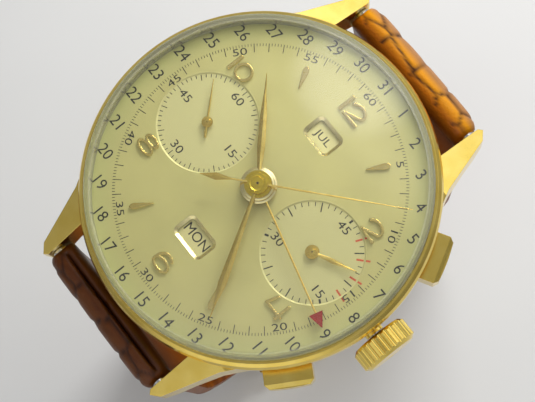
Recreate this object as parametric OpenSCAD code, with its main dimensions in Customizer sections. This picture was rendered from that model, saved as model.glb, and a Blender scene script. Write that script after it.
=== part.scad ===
// Gold wrist chronograph with a triple calendar on a buckled leather strap.
// Frame: origin at the centre of the flat back, +Z out through the dial, +Y to 12, +X to the crown at 3.

/* [Case] */
// Width of the case round the movement, out to the edge of the bezel
case_wall = 4.05; // [4:0.05:6]
// How far the bezel stands out over the middle case
bezel_step = 0.3; // [0.1:0.05:0.6]
// Width of the bezel ring seen from the front
bezel_w = 0.85; // [0.8:0.05:1.2]
// Height of the bezel above its shoulder
bezel_h = 1.7; // [1.5:0.1:2.2]
// Thickness of the back plate
back_t = 0.7; // [0.6:0.05:1.2]
// Diameter of the flat in the middle of the back
back_flat_d = 26; // [20:0.5:28]
// Gap between the two lugs of a pair
lug_gap = 18.2; // [16.6:0.1:20]
// How far a lug tip reaches past its spring bar
lug_tip = 1.5; // [1.2:0.1:2.5]
// Thickness of a lug at its tip, across the strap
lug_tip_w = 1.3; // [1.1:0.1:2]
// Radius of the spring bar ends in the lugs
bar_tip_r = 0.42; // [0.35:0.01:0.5]
// Radius of the spring bar body
bar_r = 0.8; // [0.6:0.05:1]

/* [Crystal] */
// Thickness of the crystal
crystal_t = 0.6; // [0.5:0.05:1]
// Height of the upright wall of the crystal above the dial
crystal_wall = 2.7; // [2.6:0.1:3.5]
// Rise of the dome above its wall
crystal_rise = 2; // [1.6:0.1:3]

/* [Crown and buttons] */
// Diameter of the crown
crown_d = 6.4; // [5:0.1:7]
// Length of the crown
crown_h = 2.6; // [2:0.1:3.5]
// Number of flutes round the crown
crown_flutes = 26; // [18:2:36]
// How far the crown pulls out
crown_pull = 1; // [0.5:0.1:1.5]
// Width of a pusher cap along the case
pusher_w = 5.2; // [4:0.1:6]
// Height of a pusher cap
pusher_h = 2.9; // [2:0.1:3.4]
// How far a pusher cap stands out of the middle case
pusher_reach = 2.1; // [1.6:0.1:3]
// Travel of a pusher
pusher_travel = 1; // [0.6:0.1:1.2]
// Diameter of a calendar corrector
corrector_d = 1.6; // [1.2:0.1:2]
// How far a corrector stands out of the middle case
corrector_reach = 0.55; // [0.45:0.05:0.7]
// Travel of a corrector
corrector_travel = 0.4; // [0.2:0.05:0.4]

/* [Dial] */
// Thickness of the dial
dial_t = 0.4; // [0.3:0.05:0.6]
// Diameter of a subsidiary dial
sub_d = 11; // [9:0.1:11.4]
// Depth of a subsidiary dial
sub_depth = 0.12; // [0.06:0.02:0.2]
// Width of the month window
month_window_w = 3.2; // [2.8:0.1:3.6]
// Width of the day window
day_window_w = 3.7; // [3.2:0.1:4]
// Height of a calendar window
window_h = 2.2; // [1.6:0.1:2.4]
// Width of the bevel round a calendar window
window_bevel = 0.32; // [0.2:0.02:0.4]
// Height of an applied hour numeral
numeral_h = 2.1; // [1.6:0.1:2.4]
// Radius of the circle of applied numerals
numeral_ring_r = 12.6; // [12.4:0.1:13]
// How far the applied numerals stand off the dial
marker_t = 0.25; // [0.15:0.05:0.35]

/* [Hands] */
// Length of the hour hand
hour_len = 11.9; // [9:0.1:13]
// Gap between the tip of the minute hand and the crystal
minute_gap = 2.95; // [1.6:0.05:5]
// Gap between the tip of the chronograph seconds hand and the crystal
chrono_gap = 1.55; // [0.9:0.05:3]
// Length of the tail of the chronograph seconds hand
chrono_tail = 6.1; // [4:0.1:8]
// Gap between the tip of the date hand and the crystal
date_gap = 1.45; // [0.8:0.05:3]
// Length of the small seconds hand
small_len = 4.7; // [3.5:0.1:5]
// Length of the minute counter hand
counter_len = 5; // [3.5:0.1:5.2]
// Thickness of a hand at its edge
hand_t = 0.12; // [0.08:0.01:0.16]
// Angle of the hour hand, clockwise from 12
hour_angle = 312.3; // [0:0.1:360]
// Angle of the minute hand, clockwise from 12
minute_angle = 147.6; // [0:0.1:360]
// Angle of the chronograph seconds hand, clockwise from 12
chrono_angle = 49; // [0:0.1:360]
// Angle of the date hand, clockwise from 12
date_angle = 104.5; // [0:0.1:360]
// Angle of the small seconds hand, clockwise from 12
small_angle = 316; // [0:0.1:360]
// Angle of the minute counter hand, clockwise from 12
counter_angle = 63; // [0:0.1:360]

/* [Movement] */
// Diameter of the movement
movement_d = 29.9; // [28:0.1:32]
// Thickness of the main plate
plate_t = 0.9; // [0.8:0.05:1.2]
// Thickness of the bridges
bridge_t = 0.65; // [0.5:0.05:0.9]
// Height of the mainspring barrel
barrel_h = 1.25; // [1.2:0.05:1.6]
// Thickness of a train wheel
wheel_t = 0.18; // [0.12:0.02:0.2]
// Radius of a plain arbor
arbor_r = 0.2; // [0.15:0.01:0.22]
// Running clearance between an arbor and its hole
play = 0.03; // [0.02:0.005:0.04]

/* [Strap] */
// Width of the strap at the lugs
strap_w = 17.9; // [16:0.1:18]
// Width of the strap at the buckle
strap_end_w = 16; // [14:0.1:17]
// Thickness of the strap at the lugs
strap_t = 3.6; // [2.8:0.1:4]
// Thickness of the strap at the buckle
strap_end_t = 2; // [1.8:0.1:2.4]
// Depth of the closed loop below the back
loop_depth = 42; // [34:1:55]
// Radius of the two lower bends of the loop
loop_bend_r = 8; // [6:0.5:10]
// Width of a strap keeper along the strap
keeper_w = 3.4; // [2.5:0.1:4]
// Thickness of the keeper leather
keeper_t = 0.8; // [0.5:0.1:1.2]
// Thickness of the buckle frame
buckle_t = 1.3; // [1:0.1:1.8]
// Travel of the loose keeper each way
keeper_travel = 1; // [0.5:0.1:1.4]

/* [Hidden] */
$fn = 64;
gold = "goldenrod";
brass = "darkkhaki";
steel = "silver";
leather = "saddlebrown";
fit = 0.02;
eps = 0.01;

// Scale of the movement's plan
mk = movement_d / 29.9;
plate_r = movement_d / 2;
works_r = plate_r - 1.05;
cavity_r = plate_r + 0.15;

// Radii of the case
bezel_r = plate_r + case_wall;
flank_r = bezel_r - bezel_step;
aperture_r = bezel_r - bezel_w;
crystal_in_r = aperture_r - crystal_t;
neck_r = aperture_r + 0.2;
neck_t = 0.35;
dial_r = neck_r - neck_t - 0.05;
dial_ledge = 1;
snap_r = plate_r + 1.5;
back_r = flank_r - 1.3;

// Lengths of the hands that reach for the edge of the dial
minute_len = crystal_in_r - minute_gap;
chrono_len = crystal_in_r - chrono_gap;
date_len = crystal_in_r - date_gap;

// Levels, upwards from the outer face of the back
layer_gap = 0.1;
chrono_bridge_t = 0.4;
chrono_bridge_z = back_t + 0.25;
chrono_wheel_z = chrono_bridge_z + chrono_bridge_t + 0.15;
chrono_wheel_t = 0.15;
heart_z = chrono_wheel_z + chrono_wheel_t + layer_gap;
heart_t = 0.3;
keyless_z = heart_z + heart_t + 0.15;
keyless_t = 0.3;
bridge_z = keyless_z + keyless_t + layer_gap;
train_z = bridge_z + bridge_t;
barrel_z = train_z + 0.15;
fourth_z = train_z + 0.5;
third_z = fourth_z + wheel_t + 0.3;
centre_z = max(barrel_z + barrel_h, third_z + wheel_t) + layer_gap;
plate_z = centre_z + wheel_t + 0.2;
plate_top = plate_z + plate_t;
motion_z = plate_top + 0.05;
motion_t = 0.2;
hour_wheel_z = motion_z + motion_t + 0.12;
date_wheel_z = hour_wheel_z + motion_t + layer_gap;
disc_z = date_wheel_z + motion_t + layer_gap;
disc_t = 0.15;
dial_z = disc_z + disc_t + 0.15;
dial_top = dial_z + dial_t;
sub_hand_z = dial_top + 0.2;
date_hand_z = sub_hand_z + 0.4;
hand_step = 0.36;
hour_hand_z = date_hand_z + hand_step;
minute_hand_z = hour_hand_z + hand_step;
chrono_hand_z = minute_hand_z + hand_step;
hand_ridge = 0.08;
crystal_z = dial_top + 0.2;
neck_top = crystal_z;
shoulder_z = crystal_z - 0.5;
wall_top = dial_top + crystal_wall;

// Depth of a tooth below and above its pitch circle, in modules
tooth_root = 1.25;
tooth_tip = 0.9;

// Stem and buttons
crown_wheel_m = 0.2 * mk;
crown_wheel_n = 36;
ratchet_n = 24;
winding_n = 14;
winding_r = crown_wheel_m * winding_n / 2;
stem_z = keyless_z + keyless_t / 2 + winding_r;
stem_r = 0.5;
tube_r = 1.05;
button_z = stem_z;
stem_in = 9.7 * mk;
crown_x = flank_r + 0.6;
button_angle = 30;
pocket_r = flank_r - 1.8;
cap_in = pocket_r + 0.05 + pusher_travel;
cap_out = flank_r + pusher_reach;
plunger_r = 0.6;
plunger_in = plate_r - 0.4;
corrector_z = button_z + 0.9;
corrector_in = snap_r - 0.2 + corrector_travel + 0.1;
corrector_pin_r = 0.35;
date_corrector_angle = 190;
day_corrector_angle = 256;
month_corrector_angle = 76;

// Spring bars and the strap loop, which lies in the plane of 12 and 6
strap_gap = 0.3;
bar_y = flank_r + strap_gap + strap_t / 2;
bar_z = back_t + 2.9;
lug_in = lug_gap / 2;
lug_y = bar_y + lug_tip;
bar_end = 1;
strap_end_half = strap_end_t / 2;
flat_half = bar_y - loop_bend_r;
side_len = bar_z + loop_depth - loop_bend_r;
bend_len = loop_bend_r * PI / 2;
buckle_y = -2.4;
roll_r = strap_end_half + 0.3;
tail_t = 1.8;
tail_lift = roll_r + 0.15 + tail_t / 2;
tail_end_bend = 50;
pin_r = 0.5;
buckle_in = strap_end_w / 2 + 0.45;
buckle_w = 1.1;
buckle_reach = 11;
buckle_drop = strap_end_half + 0.25;
tongue_r = 0.45;
tongue_half = 0.8;
tail_ramp_near = buckle_y + 0.4;
tail_ramp_far = buckle_y - 6.2;

// Plan of the train
function polar(r, a) = [r * cos(a), r * sin(a)];
function joined(p, q, rp, rq, side) =
    let (d = q - p, l = norm(d), along = (l * l + rp * rp - rq * rq) / (2 * l))
    p + along * d / l + side * sqrt(rp * rp - along * along) * [-d[1], d[0]] / l;
function heading(p, q) = atan2(q[1] - p[1], q[0] - p[0]);
function meshed(phase, n1, n2, a) = a + 180 + ((a - phase) * n1 / 360 - 0.5) * 360 / n2;

centre_p = [0, 0];
sub_r = 8.86 * mk;
fourth_p = [-sub_r, 0];
recorder_p = [sub_r, 0];
barrel_m = 0.15 * mk;
barrel_n = 72;
centre_pinion_n = 12;
centre_m = 0.12 * mk;
centre_n = 80;
third_pinion_n = 10;
third_m = 0.11 * mk;
third_n = 75;
fourth_pinion_n = 10;
fourth_m = 0.09 * mk;
fourth_n = 70;
escape_pinion_n = 7;
escape_n = 15;
escape_r = 2 * mk;
barrel_p = joined(centre_p, recorder_p, barrel_m * (barrel_n + centre_pinion_n) / 2,
    crown_wheel_m * (crown_wheel_n + ratchet_n) / 2, 1);
third_p = joined(centre_p, fourth_p, centre_m * (centre_n + third_pinion_n) / 2,
    third_m * (third_n + fourth_pinion_n) / 2, 1);
escape_p = fourth_p + polar(fourth_m * (fourth_n + escape_pinion_n) / 2, 75);
escape_line = 60;
pallet_p = escape_p + polar(2.5 * mk, escape_line);
balance_p = pallet_p + polar(3.1 * mk, escape_line);
balance_r = 4.2 * mk;

// Phases that put the teeth in mesh
third_phase = meshed(0, centre_n, third_pinion_n, heading(centre_p, third_p));
fourth_phase = meshed(third_phase, third_n, fourth_pinion_n, heading(third_p, fourth_p));
escape_phase = meshed(fourth_phase, fourth_n, escape_pinion_n, heading(fourth_p, escape_p));
barrel_phase = meshed(0, centre_pinion_n, barrel_n, heading(centre_p, barrel_p));
ratchet_phase = meshed(0, crown_wheel_n, ratchet_n, heading(recorder_p, barrel_p));

// Motion work and calendar
motion_m = 0.135 * mk;
cannon_n = 10;
minute_n = 30;
minute_pinion_n = 8;
hour_n = 32;
minute_line = -60;
minute_p = polar(motion_m * (cannon_n + minute_n) / 2, minute_line);
minute_phase = meshed(0, cannon_n, minute_n, minute_line);
hour_phase = meshed(minute_phase, minute_pinion_n, hour_n, minute_line + 180);
window_y = 8.47 * mk;
disc_x = -4.2 * mk;
disc_r = 4.2 * mk + day_window_w / 2 + 0.2;
day_p = [disc_x, -window_y];
month_p = [disc_x, window_y];
date_n = 31;
date_wheel_r = 4 * mk;

// Coaxial tubes at the centre, from the inside out
centre_bore = arbor_r + play;
centre_tube_r = centre_bore + 0.19;
cannon_bore = centre_tube_r + fit;
cannon_r = cannon_bore + 0.11;
hour_bore = cannon_r + play;
hour_tube_r = hour_bore + 0.18;
date_bore = hour_tube_r + play;
date_tube_r = date_bore + 0.2;

// Chronograph
drive_m = 0.11 * mk;
drive_n = 60;
coupling_n = 25;
coupling_gap = 0.38;
coupling_mesh = drive_m * (drive_n + coupling_n) / 2;
coupling_p = joined(fourth_p, centre_p, coupling_mesh, coupling_mesh + coupling_gap, 1);
coupling_phase = meshed(0, drive_n, coupling_n, heading(fourth_p, coupling_p));
recorder_r = 2.6 * mk;
column_p = [-1, 11.3] * mk;
column_r = 1.25 * mk;
operating_p = [7, 10.6] * mk;
hammer_p = [-4, -5] * mk;
click_p = [3.2, 8.2] * mk;
tab_r = plunger_in - 0.05;
tab_t = 0.35;
lever_t = 0.3;
lever_stud_r = 0.4;
coupling_lever_z = heart_z + 0.2;
coupling_bush_r = 0.9;
operating_z = keyless_z - 0.15;
column_z = chrono_bridge_z + 0.25;
wheel_stud_r = 0.25;
crown_core_r = 1.2;
barrel_arbor_r = 0.8;
barrel_pivot_r = 0.5;
disc_stud_r = 0.5;
pallet_cock_z = centre_z - 0.55;
pallet_cock_t = 0.3;
balance_z = train_z + 0.35;
hairspring_z = train_z + 0.1;
hairspring_t = 0.12;
hairspring_turns = 10;
hairspring_step = 0.2 * mk;
collet_r = 0.55;
impulse_r = 0.5 * mk;
winding_x = sub_r + crown_wheel_m * (crown_wheel_n / 2 - tooth_root) + 0.06;
winding_len = 1.1;
winding_room = winding_r + crown_wheel_m + 0.12;
chrono_posts = [[-3.9, -1.5] * mk, [4.43, -1.2] * mk, [12.4, 3.6] * mk];
barrel_posts = [[6.1, 11.5] * mk, [9.5, 9] * mk, [7.5, -10.7] * mk];
train_posts = [[-12.3, -5.5] * mk, [-4.4, -11] * mk, [-12.8, 3.4] * mk];
cock_post = [0.8, 12.2] * mk;
pallet_post = [-10.2, 6.6] * mk;
post_r = 1.1;
screw_r = 0.35;
screw_head_r = 0.65;
screw_head_t = 0.2;
screw_bite = 0.5;

// Shared shapes
module at(p, z = 0) { translate([p[0], p[1], z]) children(); }
module disc(r, z0, z1) { translate([0, 0, z0]) cylinder(r = r, h = z1 - z0); }
module ring(ro, ri, z0, z1) {
    difference() {
        disc(ro, z0, z1);
        disc(ri, z0 - 1, z1 + 1);
    }
}
module slab(z0, z1) { translate([0, 0, z0]) linear_extrude(z1 - z0) children(); }
// Straight links of width w through a run of points, with a boss a little wider than the link at each
boss = 1.08;
module chain2d(points, w) {
    for (i = [0 : len(points) - 2]) let (p = points[i], q = points[i + 1])
        translate(p) rotate(heading(p, q)) translate([0, -w / 2]) square([norm(q - p), w]);
    for (p = points) translate(p) circle(d = boss * w);
}
module bar2d(p, q, w) { chain2d([p, q], w); }
module along_radius(angle, z) { rotate(angle) translate([0, 0, z]) rotate([0, 90, 0]) children(); }

// Teeth with straight flanks, narrower than their gaps for backlash
function tooth_points(m, n, i) = let (r = m * n / 2, pitch = 360 / n, a = i * pitch) [
    polar(r - tooth_root * m, a - 0.3 * pitch), polar(r + tooth_tip * m, a - 0.1 * pitch),
    polar(r + tooth_tip * m, a + 0.1 * pitch), polar(r - tooth_root * m, a + 0.3 * pitch)];
module gear2d(m, n, phase = 0) {
    rotate(phase) polygon([for (i = [0 : n - 1]) each tooth_points(m, n, i)]);
}
module crossings(r, hub, count = 5) {
    ring_r = (r + hub) / 2;
    hole_r = min((r - hub) / 2 - 0.3, ring_r * sin(180 / count) - 0.15);
    for (i = [0 : count - 1]) rotate(i * 360 / count) translate([ring_r, 0]) circle(hole_r);
}
module train_wheel(m, n, z, phase) {
    slab(z, z + wheel_t) difference() {
        gear2d(m, n, phase);
        crossings(m * n / 2 - tooth_root * m, 0.6);
    }
}
function star_points(r, depth, n) = [for (i = [0 : n - 1]) each [
    polar(r - depth, i * 360 / n), polar(r, (i + 0.5) * 360 / n)]];
function spiral_points(r0, step, turns, sides) = [for (i = [0 : turns * sides])
    polar(r0 + step * i / sides, i * 360 / sides)];
module spiral_band(r0, step, turns, t, z0, z1) {
    sides = 24;
    inner = spiral_points(r0, step, turns, sides);
    outer = spiral_points(r0 + t, step, turns, sides);
    slab(z0, z1) polygon(concat(inner, [for (i = [len(outer) - 1 : -1 : 0]) outer[i]]));
}

// A ribbon of even width along a run of points, for numerals
function unit(v) = v / norm(v);
function ribbon_dir(p, i) = unit(unit(p[min(i + 1, len(p) - 1)] - p[min(i, len(p) - 2)])
    + unit(p[max(i, 1)] - p[max(i - 1, 0)]));
function ribbon_side(p, w) = [for (i = [0 : len(p) - 1]) let (d = ribbon_dir(p, i))
    p[i] + w / 2 * [-d[1], d[0]]];
module ribbon(p, w) {
    back = ribbon_side(p, w);
    polygon(concat(ribbon_side(p, -w), [for (i = [len(p) - 1 : -1 : 0]) back[i]]));
}
function arc(c, rx, ry, a0, a1, n = 8) = [for (i = [0 : n])
    let (a = a0 + (a1 - a0) * i / n) c + [rx * cos(a), ry * sin(a)]];
module loop2d(c, rx, ry, w) {
    difference() {
        polygon(arc(c, rx + w / 2, ry + w / 2, 0, 345, 23));
        polygon(arc(c, rx - w / 2, ry - w / 2, 0, 345, 23));
    }
}
// Digits 1 high, drawn from the lower left corner with strokes of even width
digit_stroke = 0.14;
digit_space = 0.09;
function digit_w(d) = d == 1 ? 0.2 : 1.08;
function digits_w(digits, n) =
    n == 0 ? 0 : digits_w(digits, n - 1) + digit_w(digits[n - 1]) + digit_space;
six_bowl = [0.54, 0.33];
six_rx = 0.47;
six_ry = 0.26;
six_tail = six_bowl + [0, 0.14];
module digit(d) {
    w = digit_stroke;
    if (d == 0) loop2d([0.5, 0.5], 0.43, 0.43, w);
    if (d == 1) ribbon([[0.1, 1], [0.1, 0]], 1.3 * w);
    if (d == 2) {
        ribbon(concat(arc([0.54, 0.63], 0.46, 0.3, 172, -32, 10), [[0.14, 0.12]]), w);
        ribbon([[0.04, 0.07], [1.06, 0.07]], w);
    }
    if (d == 4) {
        ribbon([[0.28, 1], [0.09, 0.3]], w);
        ribbon([[0, 0.28], [1.16, 0.28]], w);
        ribbon([[0.96, 1], [0.96, 0]], w);
    }
    if (d == 6) difference() {
        union() {
            polygon(arc(six_bowl, six_rx + w / 2, six_ry + w / 2, 0, 345, 23));
            ribbon(arc(six_tail, six_rx - 0.02, six_rx - 0.01, 207, 42, 10), w);
        }
        polygon(arc(six_bowl, six_rx - w / 2, six_ry - w / 2, 0, 345, 23));
    }
    if (d == 8) {
        loop2d([0.54, 0.29], 0.47, 0.22, w);
        loop2d([0.54, 0.75], 0.39, 0.18, w);
    }
}
module number(digits, h) {
    whole = digits_w(digits, len(digits)) - digit_space;
    for (i = [0 : len(digits) - 1])
        translate([(digits_w(digits, i) - whole / 2) * h, -h / 2]) scale(h) digit(digits[i]);
}

// A hand blade pointing along +X: flat below, with a ridge along the middle of its top
module blade(stations, z, edge, ridge) {
    n = len(stations);
    pts = [for (s = stations) each [[s[0], -s[1], z], [s[0], s[1], z], [s[0], s[1], z + edge],
        [s[0], 0, z + edge + ridge], [s[0], -s[1], z + edge]]];
    sides = [for (i = [0 : n - 2]) for (k = [0 : 4]) let (a = 5 * i + k, b = 5 * i + (k + 1) % 5)
        each [[b, a, a + 5], [b, a + 5, b + 5]]];
    polyhedron(pts, concat([[0, 1, 2, 3, 4]], sides, [[for (k = [4 : -1 : 0]) 5 * (n - 1) + k]]));
}
module hub(r, bore, z, t) { ring(r, bore, z, z + t); }

// Centreline of the strap loop by length from the 12 o'clock bar: [y, z, heading]
function loop_at(s) =
    s < side_len ? [bar_y, bar_z - s, -90]
    : s < side_len + bend_len ? let (a = (s - side_len) / loop_bend_r * 180 / PI)
        [flat_half + loop_bend_r * cos(a), -loop_depth + loop_bend_r - loop_bend_r * sin(a), -90 - a]
    : s < side_len + bend_len + 2 * flat_half ? [flat_half - (s - side_len - bend_len), -loop_depth, -180]
    : let (a = (s - side_len - bend_len - 2 * flat_half) / loop_bend_r * 180 / PI)
        [-flat_half - loop_bend_r * sin(a), -loop_depth + loop_bend_r - loop_bend_r * cos(a), -180 - a];
// A point of the strap's section: mirrored to the 6 o'clock side when side is -1
function strap_point(s, x, lift, side) = let (p = loop_at(s))
    [x, side * (p[0] - lift * sin(p[2])), p[1] + lift * cos(p[2])];
// Rounded section: half width w, thickness t, centred at a lift from the centreline
function section(s, w, t, lift, side) = let (r = 0.3 * t) [for (c = [[-w, -t / 2 + r], [-w, t / 2 - r],
    [-w + r, t / 2], [w - r, t / 2], [w, t / 2 - r], [w, -t / 2 + r], [w - r, -t / 2], [-w + r, -t / 2]])
    strap_point(s, c[0], lift + c[1], side)];
module strap_run(rows, side) {
    n = len(rows);
    pts = [for (r = rows) each section(r[0], r[1], r[2], r[3], side)];
    quads = [for (i = [0 : n - 2]) for (k = [0 : 7]) let (a = 8 * i + k, b = 8 * i + (k + 1) % 8)
        each (side < 0 ? [[a, b, b + 8], [a, b + 8, a + 8]] : [[b, a, a + 8], [b, a + 8, b + 8]])];
    first = [for (k = [0 : 7]) side < 0 ? 7 - k : k];
    last = [for (k = [0 : 7]) 8 * (n - 1) + (side < 0 ? k : 7 - k)];
    polyhedron(pts, concat([first], quads, [last]));
}
module cross_bar(r, half, y, z) { translate([-half, y, z]) rotate([0, 90, 0]) cylinder(r = r, h = 2 * half); }

// Case
case_profile = [
    [cavity_r, chrono_bridge_z], [snap_r, chrono_bridge_z], [snap_r, back_t + 1], [back_r, back_t + 1],
    [flank_r - 0.2, back_t + 1.9], [flank_r, back_t + 2.9], [flank_r, shoulder_z], [neck_r, shoulder_z],
    [neck_r, neck_top], [neck_r - neck_t, neck_top], [neck_r - neck_t, dial_z],
    [neck_r - neck_t - dial_ledge, dial_z], [neck_r - neck_t - dial_ledge, plate_top], [cavity_r, plate_top]];
lug_root_r = flank_r - 1.15;
lug_plan = [
    [lug_in, sqrt(lug_root_r * lug_root_r - lug_in * lug_in)], [lug_in, lug_y - 0.4], [lug_in + 0.4, lug_y],
    [lug_in + lug_tip_w, lug_y - 0.8], polar(flank_r + 0.9, 50.5), polar(flank_r - 0.05, 42),
    polar(lug_root_r, 43)];
lug_slope_y = 0.775 * flank_r;
lug_side = [
    [lug_in, back_t + 1.9], [lug_in, shoulder_z - 0.15], [lug_slope_y, shoulder_z - 0.15],
    [lug_y, bar_z + 1.3], [lug_y + 0.2, bar_z + 0.3], [bar_y + 0.7, bar_z - 1.8], [bar_y - 1, bar_z - 2.2],
    [flank_r - 0.6, back_t + 1.7]];
module lug() {
    intersection() {
        linear_extrude(20) polygon(lug_plan);
        rotate([90, 0, 90]) linear_extrude(40) polygon(lug_side);
    }
}
module corrector_hole(angle) {
    along_radius(angle, corrector_z) {
        disc(corrector_d / 2 + play, corrector_in - corrector_travel - 0.05, bezel_r + 3);
        disc(corrector_pin_r + play, 0, bezel_r);
    }
}
module pusher_pocket(angle) {
    along_radius(angle, button_z) {
        disc(plunger_r + play, 0, bezel_r);
        translate([-pusher_h / 2 - play, -pusher_w / 2 - play, pocket_r])
            cube([pusher_h + 2 * play, pusher_w + 2 * play, 10]);
    }
}
module case_middle() {
    color(gold) difference() {
        union() {
            rotate_extrude($fn = 96) polygon(case_profile);
            for (mx = [0, 1]) for (my = [0, 1]) mirror([mx, 0, 0]) mirror([0, my, 0]) lug();
        }
        along_radius(0, stem_z) disc(tube_r, 0, bezel_r + 1);
        for (side = [-1, 1]) {
            pusher_pocket(side * button_angle);
            cross_bar(bar_tip_r + fit, lug_in + bar_end, side * bar_y, bar_z);
        }
        for (a = [date_corrector_angle, day_corrector_angle, month_corrector_angle]) corrector_hole(a);
    }
}
bezel_lip_z = crystal_z + 0.5;
module bezel() {
    color(gold) rotate_extrude($fn = 96) polygon([
        [neck_r + fit, shoulder_z], [bezel_r - 0.12, shoulder_z], [bezel_r, shoulder_z + 0.25],
        [bezel_r, shoulder_z + 0.9], [bezel_r - 0.2, shoulder_z + bezel_h - 0.3],
        [aperture_r + 0.3, shoulder_z + bezel_h], [aperture_r + fit, shoulder_z + bezel_h],
        [aperture_r + fit, bezel_lip_z], [neck_r + fit, bezel_lip_z]]);
}
crystal_edge = 0.6;
dome_edge_r = aperture_r - crystal_edge;
dome_curve = (dome_edge_r * dome_edge_r + crystal_rise * crystal_rise) / (2 * crystal_rise);
function dome_z(r) = wall_top + crystal_rise - dome_curve + sqrt(dome_curve * dome_curve - r * r);
dome_steps = 10;
module crystal() {
    color("white", 0.3) rotate_extrude($fn = 96) polygon(concat(
        [[crystal_in_r, crystal_z], [neck_r, crystal_z], [neck_r, bezel_lip_z], [aperture_r, bezel_lip_z],
        [aperture_r, wall_top - crystal_edge]],
        arc([dome_edge_r, wall_top - crystal_edge], crystal_edge, crystal_edge, 15, 75, 4),
        [for (i = [dome_steps : -1 : 0]) let (r = dome_edge_r * i / dome_steps) [r, dome_z(r)]],
        [for (i = [0 : dome_steps]) let (r = crystal_in_r * i / dome_steps) [r, dome_z(r) - crystal_t]]));
}
module case_back() {
    color(gold) rotate_extrude($fn = 96) polygon([
        [0, 0], [back_flat_d / 2, 0], [back_r - 1, 0.5], [back_r - 0.1, back_t + 0.4], [back_r, back_t + 1],
        [snap_r + fit, back_t + 1], [snap_r + fit, chrono_bridge_z], [cavity_r, chrono_bridge_z],
        [back_flat_d / 2, back_t], [0, back_t]]);
}
tube_out = flank_r + 0.35;
tube_bore = stem_r + 0.1;
module crown_tube() { color(gold) along_radius(0, stem_z) ring(tube_r, tube_bore, cavity_r + 0.3, tube_out); }
module spring_bars() {
    color(steel) {
        for (side = [-1, 1]) {
            cross_bar(bar_r, lug_in - 0.08, side * bar_y, bar_z);
            cross_bar(bar_tip_r, lug_in + bar_end - 0.05, side * bar_y, bar_z);
        }
        cross_bar(pin_r, buckle_in + buckle_w - 0.1, buckle_y, -loop_depth);
    }
}

// Dial
dial_hole_r = arbor_r + 0.1;
window_corner = 0.35;
bevel_depth = 0.6 * dial_t;
// Outline of a calendar window with rounded corners, grown on all sides
function window_points(w, grow) = [for (i = [0 : 3]) each
    let (sx = i == 0 || i == 3 ? 1 : -1, sy = i < 2 ? 1 : -1, r = window_corner + grow)
    arc([sx * (w / 2 - window_corner), sy * (window_h / 2 - window_corner)], r, r, 90 * i, 90 * i + 90, 4)];
// A window through the dial, with a bevel that runs on past the top
module window_cut(w) {
    loops = [[dial_z - 1, 0], [dial_top - bevel_depth, 0], [dial_top + bevel_depth, 2 * window_bevel]];
    n = len(window_points(w, 0));
    pts = [for (p = loops) for (q = window_points(w, p[1])) [q[0], q[1], p[0]]];
    sides = [for (i = [0, 1]) for (k = [0 : n - 1]) let (a = n * i + k, b = n * i + (k + 1) % n)
        each [[b, a, a + n], [b, a + n, b + n]]];
    polyhedron(pts, concat([[for (k = [0 : n - 1]) k]], sides, [[for (k = [n - 1 : -1 : 0]) 2 * n + k]]));
}
module dial() {
    color("khaki") difference() {
        disc(dial_r, dial_z, dial_top);
        disc(date_tube_r + 0.08, 0, dial_top + 1);
        for (side = [-1, 1]) {
            translate([side * sub_r, 0, 0]) {
                disc(sub_d / 2, dial_top - sub_depth, dial_top + 1);
                disc(dial_hole_r, 0, dial_top + 1);
            }
        }
        translate([0, window_y, 0]) window_cut(month_window_w);
        translate([0, -window_y, 0]) window_cut(day_window_w);
    }
}
drop_out = 1.15;
drop_in = 1.45;
drop_w = 0.34;
drop2d = [[-drop_in, -0.05], [drop_out - 0.6, -drop_w], [drop_out - 0.2, -0.26], [drop_out, 0],
    [drop_out - 0.2, 0.26], [drop_out - 0.6, drop_w], [-drop_in, 0.05]];
numerals = [[12, [1, 2]], [2, [2]], [4, [4]], [6, [6]], [8, [8]], [10, [1, 0]]];
module hour_markers() {
    color(gold) difference() {
        slab(dial_top, dial_top + marker_t) {
            for (n = numerals) translate(polar(numeral_ring_r, 90 - 30 * n[0])) number(n[1], numeral_h);
            for (h = [1, 5, 7, 11]) rotate(90 - 30 * h) translate([numeral_ring_r, 0]) polygon(drop2d);
        }
        for (side = [-1, 1]) translate([side * sub_r, 0, 0]) disc(sub_d / 2 + 0.1, 0, dial_top + 1);
    }
}

// Plates and bridges
train_pivots = [third_p, fourth_p, escape_p];
works_posts = concat(barrel_posts, train_posts, [cock_post]);
module winding_cut(top) {
    translate([winding_x - 0.5, -winding_room, 0]) cube([plate_r, 2 * winding_room, top]);
}
flange_t = 0.2;
flange_w = 1;
plate_flange = [[plate_r - flange_w, plate_top - eps], [plate_r, plate_top - eps], [plate_r, plate_top],
    [plate_r + flange_w, plate_top], [plate_r + flange_w, plate_top + flange_t],
    [plate_r - flange_w, plate_top + flange_t]];
module main_plate() {
    color(brass) difference() {
        union() {
            disc(plate_r, plate_z, plate_top);
            rotate_extrude() polygon(plate_flange);
            at(minute_p) disc(wheel_stud_r, plate_top - eps, hour_wheel_z + motion_t);
            for (p = [day_p, month_p]) at(p) disc(disc_stud_r, plate_top - eps, disc_z + disc_t);
        }
        disc(centre_tube_r + play, 0, plate_top + 1);
        for (p = concat(train_pivots, [pallet_p, balance_p, recorder_p])) at(p)
            disc(arbor_r + play, 0, plate_top + 1);
        at(barrel_p) disc(barrel_pivot_r + play, 0, plate_top + 1);
        for (p = concat(works_posts, [pallet_post])) at(p) disc(screw_r, 0, plate_z + screw_bite + 0.1);
        winding_cut(stem_z + winding_room);
    }
}
module bridge_plate(outline, posts) {
    slab(bridge_z, train_z) intersection() {
        circle(works_r);
        polygon(outline * mk);
    }
    for (p = posts) at(p) disc(post_r, bridge_z, plate_z);
}
module post_holes(posts) { for (p = posts) at(p) disc(screw_r + fit, 0, plate_z + 1); }
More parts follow.
